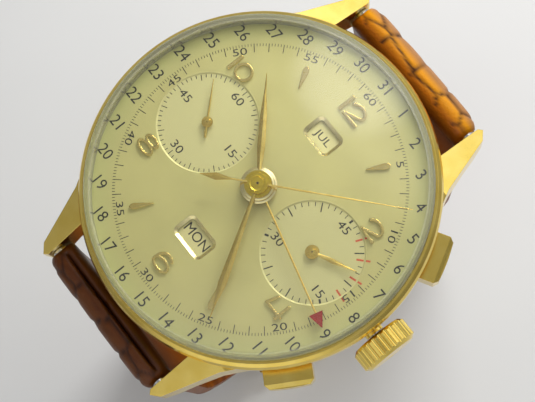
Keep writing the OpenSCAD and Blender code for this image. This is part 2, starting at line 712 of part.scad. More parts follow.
module tab_notch(angle, low, high) {
    rotate(angle) translate([tab_r - 2 * tab_t - pusher_travel - 0.6, low, 0])
        cube([plate_r, high - low, plate_z]);
}
barrel_outline = [[-1.3, -1.6], [0.5, -11.5], [3.6, -20], [20, -20], [20, 20], [6, 20], [2.6, 9.5],
    [-1.3, 2.2]];
train_outline = [[-1.9, 2], [-4.5, 4.6], [-20, 5.2], [-20, -20], [3, -20], [-0.1, -11.6], [-1.9, -1.7]];
start_notch = 1.6;
reset_notch = 3.4;
module barrel_bridge() {
    color(brass) difference() {
        union() {
            bridge_plate(barrel_outline, barrel_posts);
            at(recorder_p) disc(crown_core_r, keyless_z, bridge_z + eps);
            at(operating_p) disc(lever_stud_r, operating_z - 0.05, bridge_z + eps);
            at(click_p) disc(lever_stud_r, keyless_z - 0.05, bridge_z + eps);
        }
        disc(centre_tube_r + play, 0, plate_z);
        at(barrel_p) disc(barrel_arbor_r + play, 0, plate_z);
        at(recorder_p) disc(arbor_r + play, 0, plate_z);
        post_holes(barrel_posts);
        tab_notch(button_angle, -start_notch, start_notch);
        tab_notch(-button_angle, -reset_notch, reset_notch + 0.2);
        winding_cut(plate_z);
    }
}
module train_bridge() {
    color(brass) difference() {
        union() {
            bridge_plate(train_outline, train_posts);
            at(fourth_p) disc(coupling_bush_r, coupling_lever_z - 0.05, bridge_z + eps);
            at(hammer_p) disc(lever_stud_r, heart_z - 0.05, bridge_z + eps);
        }
        for (p = train_pivots) at(p) disc(arbor_r + play, 0, plate_z);
        post_holes(train_posts);
    }
}
cock_line = heading(balance_p, cock_post);
hairspring_out = collet_r + fit + hairspring_step * hairspring_turns + 0.05;
balance_cock_w = 2.6;
module balance_cock() {
    color(brass) difference() {
        union() {
            slab(bridge_z, train_z) bar2d(balance_p, cock_post, balance_cock_w);
            at(cock_post) disc(post_r, bridge_z, plate_z);
            at(column_p) disc(lever_stud_r, column_z - 0.05, bridge_z + eps);
            at(balance_p) rotate(cock_line) translate([hairspring_out + 0.15 + fit, 0, 0])
                disc(0.15, train_z - eps, hairspring_z + hairspring_t);
        }
        at(balance_p) disc(arbor_r + play, 0, plate_z);
        post_holes([cock_post]);
    }
}
pallet_cock_w = 1.3;
module pallet_cock() {
    color(brass) difference() {
        union() {
            slab(pallet_cock_z, pallet_cock_z + pallet_cock_t) bar2d(pallet_p, pallet_post, pallet_cock_w);
            at(pallet_post) disc(pallet_cock_w / 2, pallet_cock_z, plate_z);
        }
        at(pallet_p) disc(arbor_r + play, 0, plate_z);
        post_holes([pallet_post]);
    }
}
chrono_post_r = 0.6;
chrono_bridge_w = 1.6;
module chronograph_bridge() {
    route = [chrono_posts[0], centre_p, chrono_posts[1], recorder_p, chrono_posts[2]];
    color(brass) difference() {
        union() {
            slab(chrono_bridge_z, chrono_bridge_z + chrono_bridge_t) chain2d(route, chrono_bridge_w);
            for (p = chrono_posts) at(p) disc(chrono_post_r, chrono_bridge_z, bridge_z);
        }
        for (p = [centre_p, recorder_p]) at(p) disc(arbor_r + play, 0, bridge_z);
    }
}
module screw(z) {
    disc(screw_head_r, z - screw_head_t, z);
    disc(screw_r, z - eps, plate_z + screw_bite);
}
module movement_screws() {
    color(steel) {
        for (p = works_posts) at(p) screw(bridge_z);
        at(pallet_post) screw(pallet_cock_z);
    }
}

// Going train
drum_wall = 0.5;
drum_lid = 0.15;
drum_r = barrel_m * (barrel_n / 2 - tooth_root) - 0.05;
module barrel_drum() {
    color(brass) at(barrel_p) difference() {
        union() {
            slab(barrel_z, barrel_z + 0.45) gear2d(barrel_m, barrel_n, barrel_phase);
            disc(drum_r, barrel_z, barrel_z + barrel_h);
        }
        disc(drum_r - drum_wall, barrel_z + drum_lid, barrel_z + barrel_h - drum_lid);
        disc(barrel_arbor_r + play, 0, plate_z);
    }
}
mainspring_turns = 8;
mainspring_t = 0.2;
mainspring_in = barrel_arbor_r + play;
mainspring_step = (drum_r - drum_wall - fit - mainspring_t - mainspring_in) / mainspring_turns;
module mainspring() {
    color(steel) at(barrel_p) spiral_band(mainspring_in, mainspring_step, mainspring_turns, mainspring_t,
        barrel_z + drum_lid + 0.03, barrel_z + barrel_h - drum_lid - 0.03);
}
module ratchet_wheel() {
    color(steel) at(barrel_p) {
        slab(keyless_z, keyless_z + keyless_t) gear2d(crown_wheel_m, ratchet_n, ratchet_phase);
        disc(barrel_arbor_r, keyless_z, barrel_z + barrel_h + 0.05);
        disc(barrel_pivot_r, keyless_z, plate_z + 0.5);
    }
}
module crown_wheel() {
    color(steel) at(recorder_p) slab(keyless_z, keyless_z + keyless_t) difference() {
        gear2d(crown_wheel_m, crown_wheel_n);
        circle(crown_core_r + play);
    }
}
click_rest = barrel_p + (crown_wheel_m * (ratchet_n / 2 + tooth_tip) + 0.32) * unit(click_p - barrel_p);
module click() {
    color(steel) slab(keyless_z, keyless_z + keyless_t) difference() {
        union() {
            translate(click_p) circle(0.8);
            bar2d(click_p, click_rest, 0.5);
        }
        translate(click_p) circle(lever_stud_r + play);
    }
}
module winding_stem() { color(steel) along_radius(0, stem_z) disc(stem_r, stem_in, crown_x + crown_h - 0.6); }
module winding_pinion() {
    color(steel) translate([winding_x, 0, stem_z]) rotate([90, 0, 90])
        linear_extrude(winding_len) difference() {
            gear2d(crown_wheel_m, winding_n, -90 + 180 / winding_n);
            circle(stem_r + play);
        }
}
crown_r = crown_d / 2;
flute_r = 0.24;
module crown() {
    color(gold) translate([crown_x, 0, stem_z]) rotate([0, 90, 0]) difference() {
        rotate_extrude() polygon([[0, 0], [crown_r - 0.4, 0], [crown_r, 0.35], [crown_r, crown_h - 0.5],
            [crown_r - 0.5, crown_h - 0.1], [0, crown_h]]);
        for (i = [0 : crown_flutes - 1]) rotate(i * 360 / crown_flutes)
            translate([crown_r + 0.06, 0, -1]) cylinder(r = flute_r, h = crown_h + 2, $fn = 24);
        disc(tube_r + 0.15, -1, 0.9);
        disc(stem_r, -1, crown_h - 0.6);
    }
}
module centre_wheel() {
    color(brass) difference() {
        union() {
            slab(barrel_z - 0.03, barrel_z + 0.5) gear2d(barrel_m, centre_pinion_n);
            train_wheel(centre_m, centre_n, centre_z, 0);
            disc(0.7 * mk, barrel_z, centre_z + wheel_t);
            disc(centre_tube_r, bridge_z + 0.05, date_wheel_z);
        }
        disc(centre_bore, 0, dial_top);
    }
}
module third_wheel() {
    color(brass) at(third_p) {
        slab(centre_z - 0.1, centre_z + wheel_t + 0.1) gear2d(centre_m, third_pinion_n, third_phase);
        train_wheel(third_m, third_n, third_z, third_phase);
        disc(arbor_r, bridge_z + 0.1, plate_z + 0.5);
    }
}
module fourth_wheel() {
    color(brass) at(fourth_p) {
        slab(third_z - 0.1, third_z + wheel_t + 0.1) gear2d(third_m, fourth_pinion_n, fourth_phase);
        train_wheel(fourth_m, fourth_n, fourth_z, fourth_phase);
        slab(chrono_wheel_z, chrono_wheel_z + chrono_wheel_t) difference() {
            gear2d(drive_m, drive_n);
            crossings(drive_m * drive_n / 2 - tooth_root * drive_m, 0.6);
        }
        disc(arbor_r, chrono_wheel_z - 0.2, sub_hand_z + hand_t);
    }
}
function escape_tooth(a) = [polar(0.76 * escape_r, a), polar(escape_r, a + 14),
    polar(0.97 * escape_r, a + 16.5), polar(0.76 * escape_r, a + 17)];
module escape_wheel() {
    color(steel) at(escape_p) {
        slab(fourth_z - 0.1, fourth_z + wheel_t + 0.1) gear2d(fourth_m, escape_pinion_n, escape_phase);
        slab(centre_z, centre_z + wheel_t)
            polygon([for (i = [0 : escape_n - 1]) each escape_tooth(i * 360 / escape_n)]);
        disc(arbor_r, bridge_z + 0.1, plate_z + 0.5);
    }
}
module pallet_fork() {
    color(steel) {
        at(pallet_p) {
            rotate(escape_line) slab(centre_z - 0.05, centre_z + wheel_t) scale(mk) {
                translate([0, -0.16]) square([2.1, 0.32]);
                translate([2, -0.33]) square([0.15, 0.66]);
                for (side = [-1, 1]) {
                    translate([2, side * 0.22 - 0.11]) square([0.68, 0.22]);
                    bar2d([0, 0], [-0.6, side * 1.25], 0.3);
                    bar2d([-0.6, side * 1.25], [-0.78, side * 1.07], 0.16);
                }
            }
            disc(arbor_r, pallet_cock_z + 0.05, plate_z + 0.5);
        }
    }
}
module balance_wheel() {
    color(brass) at(balance_p) {
        ring(balance_r, balance_r - 0.55, balance_z, balance_z + 0.45);
        slab(balance_z + 0.1, balance_z + 0.35)
            translate([-balance_r + 0.3, -0.35]) square([2 * balance_r - 0.6, 0.7]);
        disc(0.6, balance_z, balance_z + 0.45);
        disc(collet_r, hairspring_z - 0.02, balance_z + eps);
        disc(arbor_r, bridge_z + 0.1, plate_z + 0.5);
        disc(0.65 * mk, centre_z - 0.2, centre_z - 0.1);
        rotate(escape_line) translate([-impulse_r, 0, 0]) disc(0.08, centre_z - 0.11, centre_z + wheel_t);
    }
}
module hairspring() {
    color("steelblue") at(balance_p) rotate(cock_line) spiral_band(collet_r + fit, hairspring_step,
        hairspring_turns, 0.05, hairspring_z, hairspring_z + hairspring_t);
}

// Motion work and calendar
module cannon_pinion() {
    color(steel) difference() {
        union() {
            slab(motion_z, motion_z + motion_t + 0.04) gear2d(motion_m, cannon_n);
            disc(cannon_r, motion_z, minute_hand_z + hand_t);
        }
        disc(cannon_bore, 0, minute_hand_z + 1);
    }
}
module minute_wheel() {
    color(brass) at(minute_p) difference() {
        union() {
            slab(motion_z, motion_z + motion_t) gear2d(motion_m, minute_n, minute_phase);
            slab(motion_z, hour_wheel_z + motion_t) gear2d(motion_m, minute_pinion_n, minute_phase);
        }
        disc(wheel_stud_r + play, 0, dial_z);
    }
}
module hour_wheel() {
    color(brass) difference() {
        union() {
            slab(hour_wheel_z, hour_wheel_z + motion_t) gear2d(motion_m, hour_n, hour_phase);
            disc(hour_tube_r, hour_wheel_z, hour_hand_z + hand_t);
        }
        disc(hour_bore, 0, hour_hand_z + 1);
    }
}
module date_wheel() {
    color(brass) difference() {
        union() {
            slab(date_wheel_z, date_wheel_z + motion_t) polygon(star_points(date_wheel_r, 0.35, date_n));
            disc(date_tube_r, date_wheel_z, date_hand_z + hand_t);
        }
        disc(date_bore, 0, date_hand_z + 1);
    }
}
module calendar_disc(p, n, star_r) {
    color("ivory") at(p) difference() {
        union() {
            disc(disc_r, disc_z, disc_z + disc_t);
            slab(date_wheel_z, disc_z + eps) polygon(star_points(star_r, 0.5, n));
        }
        disc(disc_stud_r + play, 0, dial_z);
    }
}
module day_disc() { calendar_disc(day_p, 7, 2 * mk); }
module month_disc() { calendar_disc(month_p, 12, 2.3 * mk); }

// Chronograph work
function heart_points(low, high) = [for (a = [-180 : 15 : 165]) polar(low + (high - low) * abs(a) / 180, a)];
module chronograph_runner() {
    color(brass) {
        slab(chrono_wheel_z, chrono_wheel_z + chrono_wheel_t) difference() {
            gear2d(drive_m, drive_n);
            crossings(drive_m * drive_n / 2 - tooth_root * drive_m, 0.6);
        }
        slab(heart_z, heart_z + heart_t) rotate(-90 - chrono_angle) polygon(heart_points(0.5, 1.1) * mk);
        disc(arbor_r + 0.1, chrono_wheel_z, heart_z + heart_t);
        disc(arbor_r, chrono_bridge_z + 0.05, chrono_hand_z + hand_t);
    }
}
recorder_n = 45;
module minute_recorder() {
    color(brass) at(recorder_p) {
        slab(chrono_wheel_z, chrono_wheel_z + chrono_wheel_t)
            polygon(star_points(recorder_r, 0.2, recorder_n));
        slab(heart_z, heart_z + heart_t) rotate(-90 - counter_angle) polygon(heart_points(0.45, 1) * mk);
        disc(arbor_r + 0.1, chrono_wheel_z, heart_z + heart_t);
        disc(arbor_r, chrono_bridge_z + 0.05, sub_hand_z + hand_t);
    }
}
module coupling_wheel() {
    color(brass) at(coupling_p) slab(chrono_wheel_z, chrono_wheel_z + chrono_wheel_t) difference() {
        gear2d(drive_m, coupling_n, coupling_phase);
        circle(wheel_stud_r + play);
    }
}
column_tooth = 0.25;
beak_w = 0.7;
beak_p = column_p + polar(column_r + column_tooth + boss * beak_w / 2 + 0.06, 215);
module coupling_lever() {
    color(steel) difference() {
        union() {
            slab(coupling_lever_z, coupling_lever_z + lever_t) {
                translate(fourth_p) circle(1.5);
                bar2d(fourth_p, coupling_p, 1);
                bar2d(coupling_p, beak_p, beak_w);
            }
            at(coupling_p) disc(wheel_stud_r, chrono_wheel_z, coupling_lever_z + eps);
        }
        at(fourth_p) disc(coupling_bush_r + play, 0, bridge_z);
    }
}
module column_wheel() {
    ratchet_z = operating_z;
    color(steel) at(column_p) difference() {
        union() {
            slab(ratchet_z, ratchet_z + lever_t) polygon(star_points(column_r + column_tooth, 0.2, 12));
            slab(column_z, ratchet_z + eps) intersection() {
                circle(column_r);
                for (i = [0 : 5]) rotate(i * 60) polygon([[0, 0], polar(3, -14), polar(3, 14)]);
            }
        }
        disc(lever_stud_r + play, ratchet_z - 1, bridge_z);
        disc(0.6 * column_r, column_z - 1, ratchet_z);
    }
}
module tab(angle, low, high, z, slack = 0) {
    rotate(angle) translate([tab_r - tab_t - slack, low, z])
        cube([tab_t, high - low, button_z + plunger_r - z]);
}
lever_hub_r = 0.9;
lever_w = 0.6;
module operating_lever() {
    hook_p = column_p + polar(column_r + column_tooth + 0.55, 20);
    color(steel) difference() {
        union() {
            slab(operating_z, operating_z + lever_t) {
                translate(operating_p) circle(lever_hub_r);
                bar2d(operating_p, hook_p, lever_w);
                bar2d(operating_p, polar(tab_r - lever_w, button_angle), lever_hub_r);
            }
            tab(button_angle, -0.7, 0.7, operating_z);
        }
        at(operating_p) disc(lever_stud_r + play, 0, bridge_z);
    }
}
hammer_slack = 0.06;
module reset_hammer() {
    beam_end = polar(tab_r - 0.62, -button_angle);
    beam_dir = unit(beam_end - hammer_p);
    color(steel) difference() {
        union() {
            slab(heart_z, heart_z + heart_t) {
                translate(hammer_p) circle(1);
                bar2d(hammer_p, beam_end, 1.1);
                for (face = [[0.6, -2.3], [9.3, -3.9]]) let (f = face * mk) {
                    bar2d(hammer_p + beam_dir * ((f - hammer_p) * beam_dir), f, 0.8);
                    translate(f - [0.8, 0]) square([1.6, 0.3]);
                }
            }
            tab(-button_angle, -2.9, 0.7, heart_z, hammer_slack);
        }
        at(hammer_p) disc(lever_stud_r + play, 0, bridge_z);
    }
}

// Hands, each drawn along +X and turned to its angle
module hand(angle) { rotate(90 - angle) children(); }
module hour_hand() {
    l = hour_len;
    color(gold) hand(hour_angle) {
        hub(1.7, hour_tube_r, hour_hand_z, hand_t);
        blade([[1.3, 0.2], [0.34 * l, 0.42], [0.62 * l, 0.36], [0.86 * l, 0.1], [l, 0.03]],
            hour_hand_z, hand_t, hand_ridge);
    }
}
module minute_hand() {
    l = minute_len;
    color(gold) hand(minute_angle) {
        hub(1.45, cannon_r, minute_hand_z, hand_t);
        blade([[1.1, 0.16], [0.45 * l, 0.34], [0.74 * l, 0.46], [0.9 * l, 0.12], [l, 0.03]],
            minute_hand_z, hand_t, hand_ridge);
    }
}
module chronograph_hand() {
    l = chrono_len;
    t = chrono_tail;
    color(gold) hand(chrono_angle) {
        hub(1.1, arbor_r, chrono_hand_z, hand_t);
        blade([[0.6, 0.12], [0.6 * l, 0.09], [l, 0.03]], chrono_hand_z, hand_t, 0.02);
        rotate(180) blade([[0.6, 0.1], [0.45 * t, 0.1], [0.72 * t, 0.4], [t, 0.03]],
            chrono_hand_z, hand_t, 0.02);
    }
}
arrow_l = 1.6;
arrow_half = 0.75;
module date_hand() {
    base = date_len - arrow_l;
    color("firebrick") hand(date_angle) {
        hub(1.95, date_tube_r, date_hand_z, hand_t);
        blade([[1.5, 0.12], [base - 0.02, 0.1], [base, arrow_half], [date_len, 0.03]],
            date_hand_z, hand_t, 0.02);
    }
}
module small_seconds_hand() {
    color(gold) translate([-sub_r, 0, 0]) hand(small_angle) {
        hub(0.6, arbor_r, sub_hand_z, hand_t);
        blade([[0.35, 0.12], [0.5 * small_len, 0.1], [small_len, 0.03]], sub_hand_z, hand_t, 0.02);
        rotate(180) blade([[0.35, 0.12], [1.2, 0.16], [1.7, 0.1]], sub_hand_z, hand_t, 0.02);
    }
}
module minute_counter_hand() {
    l = counter_len;
    color(gold) translate([sub_r, 0, 0]) hand(counter_angle) {
        hub(0.75, arbor_r, sub_hand_z, hand_t);
        blade([[0.5, 0.14], [0.45 * l, 0.26], [0.8 * l, 0.1], [l, 0.03]], sub_hand_z, hand_t, 0.03);
    }
}

// Buttons
cap_bevel = 0.4;
cap_sag = cap_out - sqrt(cap_out * cap_out - pusher_w * pusher_w / 4);
function cap_outline(half, front) = [[cap_in, -half], [front - cap_bevel, -half], [front, cap_bevel - half],
    [cap_out, cap_bevel - half], [cap_out, half - cap_bevel], [front, half - cap_bevel],
    [front - cap_bevel, half], [cap_in, half]];
module pusher(angle) {
    color(gold) rotate(angle) {
        intersection() {
            slab(button_z - pusher_h / 2, button_z + pusher_h / 2)
                polygon(cap_outline(pusher_w / 2, cap_out - cap_sag));
            translate([0, pusher_w / 2, button_z]) rotate([90, 0, 0]) linear_extrude(pusher_w)
                polygon(cap_outline(pusher_h / 2, cap_out - cap_sag));
            disc(cap_out, 0, button_z + pusher_h);
        }
        translate([0, 0, button_z]) rotate([0, 90, 0]) disc(plunger_r, plunger_in, cap_in + eps);
    }
}
module start_pusher() { pusher(button_angle); }
module reset_pusher() { pusher(-button_angle); }
corrector_round = 0.25;
module corrector(angle) {
    out = flank_r + corrector_reach;
    color(gold) along_radius(angle, corrector_z) {
        disc(corrector_d / 2, corrector_in, out - corrector_round);
        translate([0, 0, out - corrector_round - eps])
            cylinder(r1 = corrector_d / 2, r2 = corrector_d / 2 - corrector_round, h = corrector_round + eps);
        disc(corrector_pin_r, cavity_r + 0.1, corrector_in + eps);
    }
}
module date_corrector() { corrector(date_corrector_angle); }
module day_corrector() { corrector(day_corrector_angle); }
module month_corrector() { corrector(month_corrector_angle); }

// Strap, keepers and buckle
function clamp01(x) = max(0, min(1, x));
function mix(a, b, f) = a + (b - a) * f;
taper_len = 0.75 * (side_len + bend_len);
thin_len = 28;
function strap_half(s) = mix(strap_w, strap_end_w, clamp01(s / taper_len)) / 2;
function strap_thick(s) = mix(strap_t, strap_end_t, pow(clamp01(s / thin_len), 0.7));
buckle_s = side_len + bend_len + flat_half - buckle_y;
strap_steps = 40;
module strap_buckle_side() {
    color(leather) difference() {
        union() {
            strap_run([for (i = [0 : strap_steps]) let (s = buckle_s * i / strap_steps)
                [s, strap_half(s), strap_thick(s), 0]], 1);
            cross_bar(strap_t / 2, strap_w / 2, bar_y, bar_z);
            cross_bar(roll_r, strap_end_w / 2, buckle_y, -loop_depth);
        }
        cross_bar(bar_r + play, lug_gap, bar_y, bar_z);
        cross_bar(pin_r + play, lug_gap, buckle_y, -loop_depth);
        translate([-tongue_half - 0.15, buckle_y - 3, -loop_depth - 3]) cube([2 * tongue_half + 0.3, 4.4, 6]);
    }
}
ramp_start = side_len + bend_len + flat_half + tail_ramp_far;
ramp_len = tail_ramp_near - tail_ramp_far;
tail_len = side_len + bend_len + 2 * flat_half + loop_bend_r * tail_end_bend * PI / 180;
function tail_f(s) = clamp01((s - ramp_start) / ramp_len);
tail_steps = 60;
tongue_slot_half = tongue_r + 0.2;
spare_hole_y = buckle_y + 7.6;
module strap_tail_side() {
    color(leather) difference() {
        union() {
            strap_run([for (i = [0 : tail_steps]) let (s = tail_len * i / tail_steps)
                [s, strap_half(s) - 0.3 * clamp01(s / taper_len), mix(strap_thick(s), tail_t, tail_f(s)),
                tail_lift * tail_f(s)]], -1);
            cross_bar(strap_t / 2, strap_w / 2, -bar_y, bar_z);
        }
        cross_bar(bar_r + play, lug_gap, -bar_y, bar_z);
        translate([-tongue_slot_half, buckle_y - 6.3, -loop_depth - 6]) cube([2 * tongue_slot_half, 5.9, 8]);
        translate([0, spare_hole_y, -loop_depth - 6]) cylinder(r = 0.8, h = 6 - roll_r);
    }
}
keeper_in = strap_end_w / 2 + 0.15;
keeper_low = -loop_depth - tail_lift - tail_t / 2 - 0.12;
keeper_from_bar = 2.6;
keeper_space = 3.2;
fixed_keeper_y = buckle_y + keeper_from_bar;
loose_keeper_y = fixed_keeper_y + keeper_w + keeper_space;
module keeper(y, room) {
    top = -loop_depth + strap_end_half + room;
    color(leather) difference() {
        translate([-keeper_in - keeper_t, y, keeper_low - keeper_t])
            cube([2 * (keeper_in + keeper_t), keeper_w, top - keeper_low + 2 * keeper_t]);
        translate([-keeper_in, y - 1, keeper_low]) cube([2 * keeper_in, keeper_w + 2, top - keeper_low]);
    }
}
module fixed_keeper() { keeper(fixed_keeper_y, 0); }
module loose_keeper() { keeper(loose_keeper_y, 0.12); }
buckle_low = buckle_drop + buckle_t;
buckle_bar_w = 1.6;
arm_end = 1.1;
arm_half = 0.9;
arm_side = [[arm_end, arm_half], [arm_end, -arm_half], [buckle_bar_w - buckle_reach, -buckle_low],
    [-buckle_reach, -buckle_low], [-buckle_reach, -buckle_drop], [buckle_bar_w - buckle_reach, -buckle_drop],
    [-arm_end, arm_half]];
module buckle_frame() {
    color(gold) difference() {
        translate([0, buckle_y, -loop_depth]) {
            for (x = [-buckle_in - buckle_w, buckle_in])
                translate([x, 0, 0]) rotate([90, 0, 90]) linear_extrude(buckle_w) polygon(arm_side);
            translate([-buckle_in - eps, -buckle_reach, -buckle_low])
                cube([2 * (buckle_in + eps), buckle_bar_w, buckle_t]);
        }
        cross_bar(pin_r + play, 2 * buckle_in, buckle_y, -loop_depth);
    }
}
tongue_drop = buckle_low + tongue_r + 0.1;
tongue_slope = atan2(tongue_drop, buckle_reach - buckle_bar_w);
module buckle_tongue() {
    color(gold) difference() {
        union() {
            cross_bar(1, tongue_half, buckle_y, -loop_depth);
            translate([0, buckle_y, -loop_depth]) rotate([90 + tongue_slope, 0, 0])
                disc(tongue_r, 0.7, buckle_reach + 0.5);
        }
        cross_bar(pin_r + play, 2, buckle_y, -loop_depth);
    }
}

case_middle();
bezel();
crystal();
case_back();
crown_tube();
spring_bars();
dial();
hour_markers();
main_plate();
barrel_bridge();
train_bridge();
balance_cock();
pallet_cock();
chronograph_bridge();
movement_screws();
strap_buckle_side();
strap_tail_side();
fixed_keeper();
loose_keeper();
buckle_frame();
buckle_tongue();
hour_hand();
minute_hand();
chronograph_hand();
date_hand();
small_seconds_hand();
minute_counter_hand();
cannon_pinion();
minute_wheel();
hour_wheel();
date_wheel();
day_disc();
month_disc();
barrel_drum();
mainspring();
ratchet_wheel();
crown_wheel();
click();
winding_stem();
crown();
winding_pinion();
centre_wheel();
third_wheel();
fourth_wheel();
escape_wheel();
pallet_fork();
balance_wheel();
hairspring();
chronograph_runner();
minute_recorder();
coupling_wheel();
coupling_lever();
column_wheel();
operating_lever();
reset_hammer();
start_pusher();
reset_pusher();
date_corrector();
day_corrector();
month_corrector();
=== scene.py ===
import math

import bmesh
import bpy
import numpy as np
from mathutils import Matrix, Vector


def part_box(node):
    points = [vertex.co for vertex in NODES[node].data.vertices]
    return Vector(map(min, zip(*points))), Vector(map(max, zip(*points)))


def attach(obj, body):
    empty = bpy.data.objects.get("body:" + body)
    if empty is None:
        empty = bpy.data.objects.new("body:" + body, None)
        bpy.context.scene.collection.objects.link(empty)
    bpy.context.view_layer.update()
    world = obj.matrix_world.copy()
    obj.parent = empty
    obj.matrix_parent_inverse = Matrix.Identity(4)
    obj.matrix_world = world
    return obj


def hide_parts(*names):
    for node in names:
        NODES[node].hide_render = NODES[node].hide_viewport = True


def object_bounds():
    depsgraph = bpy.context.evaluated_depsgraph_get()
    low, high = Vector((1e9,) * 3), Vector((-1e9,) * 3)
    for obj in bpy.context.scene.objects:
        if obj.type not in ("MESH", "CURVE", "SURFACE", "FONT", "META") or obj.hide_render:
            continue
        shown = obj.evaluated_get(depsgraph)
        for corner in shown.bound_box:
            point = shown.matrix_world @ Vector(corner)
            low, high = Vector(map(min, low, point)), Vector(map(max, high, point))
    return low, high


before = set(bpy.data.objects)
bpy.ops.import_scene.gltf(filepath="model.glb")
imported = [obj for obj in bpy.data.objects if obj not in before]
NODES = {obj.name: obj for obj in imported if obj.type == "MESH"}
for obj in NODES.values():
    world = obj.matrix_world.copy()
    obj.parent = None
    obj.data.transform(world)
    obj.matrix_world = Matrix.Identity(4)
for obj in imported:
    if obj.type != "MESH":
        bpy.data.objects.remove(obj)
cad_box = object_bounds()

MM = 0.001


def span(node, axis):
    """Lowest and highest coordinate of a CAD node along an axis, in mm."""
    low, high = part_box(node)
    return low[axis] / MM, high[axis] / MM


# Sizes are in mm, in the frame of the part: +Y to 12, +X to 3, +Z out through the dial

# Dial with its two counters, and the thickness of the print on it
DIAL_Z = span("dial", 2)[1]
SUB_X = 8.86
SUB_R = 5.5
SUB_Z = DIAL_Z - 0.12
SUB_TRACK = 5.3
INK = 0.012
INK_SINK = 0.004

# Calendar discs and their windows
DISC_Z = span("month_disc", 2)[1]
DISC_X = -4.2
WINDOW_Y = 8.47
WINDOW_H = 2.2
WINDOW_BEVEL = 0.32
WINDOW_CORNER = 0.35
WINDOW_DEPTH = 0.24

# Crystal and hands
DOME_R = 78.0
CRYSTAL_RIM = 17.55
HAND_T = 0.12
ARROW_START = 14.5

# Strap route: down from the spring bar, round the lower bend and along the flat
BAR_Y = 20.8
BAR_Z = 3.6
LOOP_Z = -42.0
BEND_R = 8.0
FLAT_HALF = BAR_Y - BEND_R
SIDE_LEN = BAR_Z - LOOP_Z - BEND_R
BEND_LEN = BEND_R * math.pi / 2
BUCKLE_Y = -2.4
BUCKLE_S = SIDE_LEN + BEND_LEN + FLAT_HALF - BUCKLE_Y

# Strap section: thick and wide at the lugs, thinner and narrower towards the buckle
LUG_THICK = 3.6
STRAP_THICK = 2.0
THINNING_LEN = 28.0
THINNING_POWER = 0.7
LUG_WIDTH = 17.9
STRAP_WIDTH = 16.0

# Tail of the strap: it climbs on to the buckle half and ends in a blunt point
TAIL_LEN = SIDE_LEN + BEND_LEN + 2 * FLAT_HALF + BEND_R * math.radians(50)
RAMP_START = 54.37
RAMP_LEN = 6.6
TAIL_LIFT = 2.35
TAIL_THICK = 1.8
TAIL_EASE = 0.3
TIP_LEN = 6.5
TIP_TAPER = 0.85


# Materials

class Shader:
    """A procedural material round one Principled shader, with textures measured in mm."""

    def __init__(self, name, **sockets):
        self.material = bpy.data.materials.new(name)
        self.material.use_nodes = True
        self.tree = self.material.node_tree
        self.bsdf = self.tree.nodes["Principled BSDF"]
        for key, value in sockets.items():
            self.bsdf.inputs[key.replace("_", " ")].default_value = value

    def add(self, kind, inputs=(), **props):
        """A new node with its inputs linked or set, and its properties set."""
        node = self.tree.nodes.new(kind)
        for key, value in props.items():
            setattr(node, key, value)
        for key, value in dict(inputs).items():
            if isinstance(value, bpy.types.NodeSocket):
                self.tree.links.new(value, node.inputs[key])
            else:
                node.inputs[key].default_value = value
        return node

    def link(self, socket, target):
        self.tree.links.new(socket, self.bsdf.inputs[target])

    def maths(self, operation, *values):
        return self.add("ShaderNodeMath", enumerate(values), operation=operation).outputs[0]

    def vector(self, operation, inputs, output="Vector"):
        return self.add("ShaderNodeVectorMath", inputs, operation=operation).outputs[output]

    def coords(self, scale=(1, 1, 1)):
        """Object coordinates in mm, times scale."""
        place = self.add("ShaderNodeTexCoord")
        size = tuple(s / MM for s in scale)
        return self.add("ShaderNodeMapping", {"Vector": place.outputs["Object"], "Scale": size}).outputs[0]

    def axis_distance(self):
        """Distance in mm from the axis through the middle of the dial."""
        return self.vector("LENGTH", {0: self.coords((1, 1, 0))}, "Value")

    def noise(self, size, detail=3.0, stretch=(1, 1, 1)):
        """Noise with features about size mm across."""
        where = self.coords(tuple(s / size for s in stretch))
        return self.add("ShaderNodeTexNoise", {"Vector": where, "Scale": 1.0, "Detail": detail}).outputs[0]

    def ramp(self, factor, *stops):
        """Colours at places along a factor."""
        node = self.add("ShaderNodeValToRGB", {"Fac": factor})
        band = node.color_ramp
        while len(band.elements) < len(stops):
            band.elements.new(1.0)
        for element, (place, colour) in zip(band.elements, stops):
            element.position = place
            element.color = (*colour, 1.0)
        return node.outputs[0]

    def ranged(self, factor, low, high):
        """A factor of 0 to 1 spread from low to high."""
        node = self.add("ShaderNodeMapRange", {"Value": factor, "To Min": low, "To Max": high})
        return node.outputs[0]

    def zone(self, value, start, end, top=1.0):
        """0 up to start and top from end on."""
        inputs = {"Value": value, "From Min": start, "From Max": end, "To Max": top}
        return self.add("ShaderNodeMapRange", inputs).outputs[0]

    def blend(self, factor, first, second):
        """Colour that goes from first to second with the factor."""
        inputs = {"Factor": factor, "A": first, "B": second}
        return self.add("ShaderNodeMix", inputs, data_type="RGBA").outputs["Result"]

    def bump(self, height, depth, strength=1.0, normal=None):
        """Normal of a relief depth mm deep, on top of another normal."""
        inputs = {"Height": height, "Distance": depth * MM, "Strength": strength}
        if normal is not None:
            inputs["Normal"] = normal
        return self.add("ShaderNodeBump", inputs).outputs[0]


def srgb(red, green, blue):
    """A colour written in 0 to 255, as linear light."""
    def linear(v):
        v /= 255
        return v / 12.92 if v <= 0.04045 else ((v + 0.055) / 1.055) ** 2.4
    return (linear(red), linear(green), linear(blue))


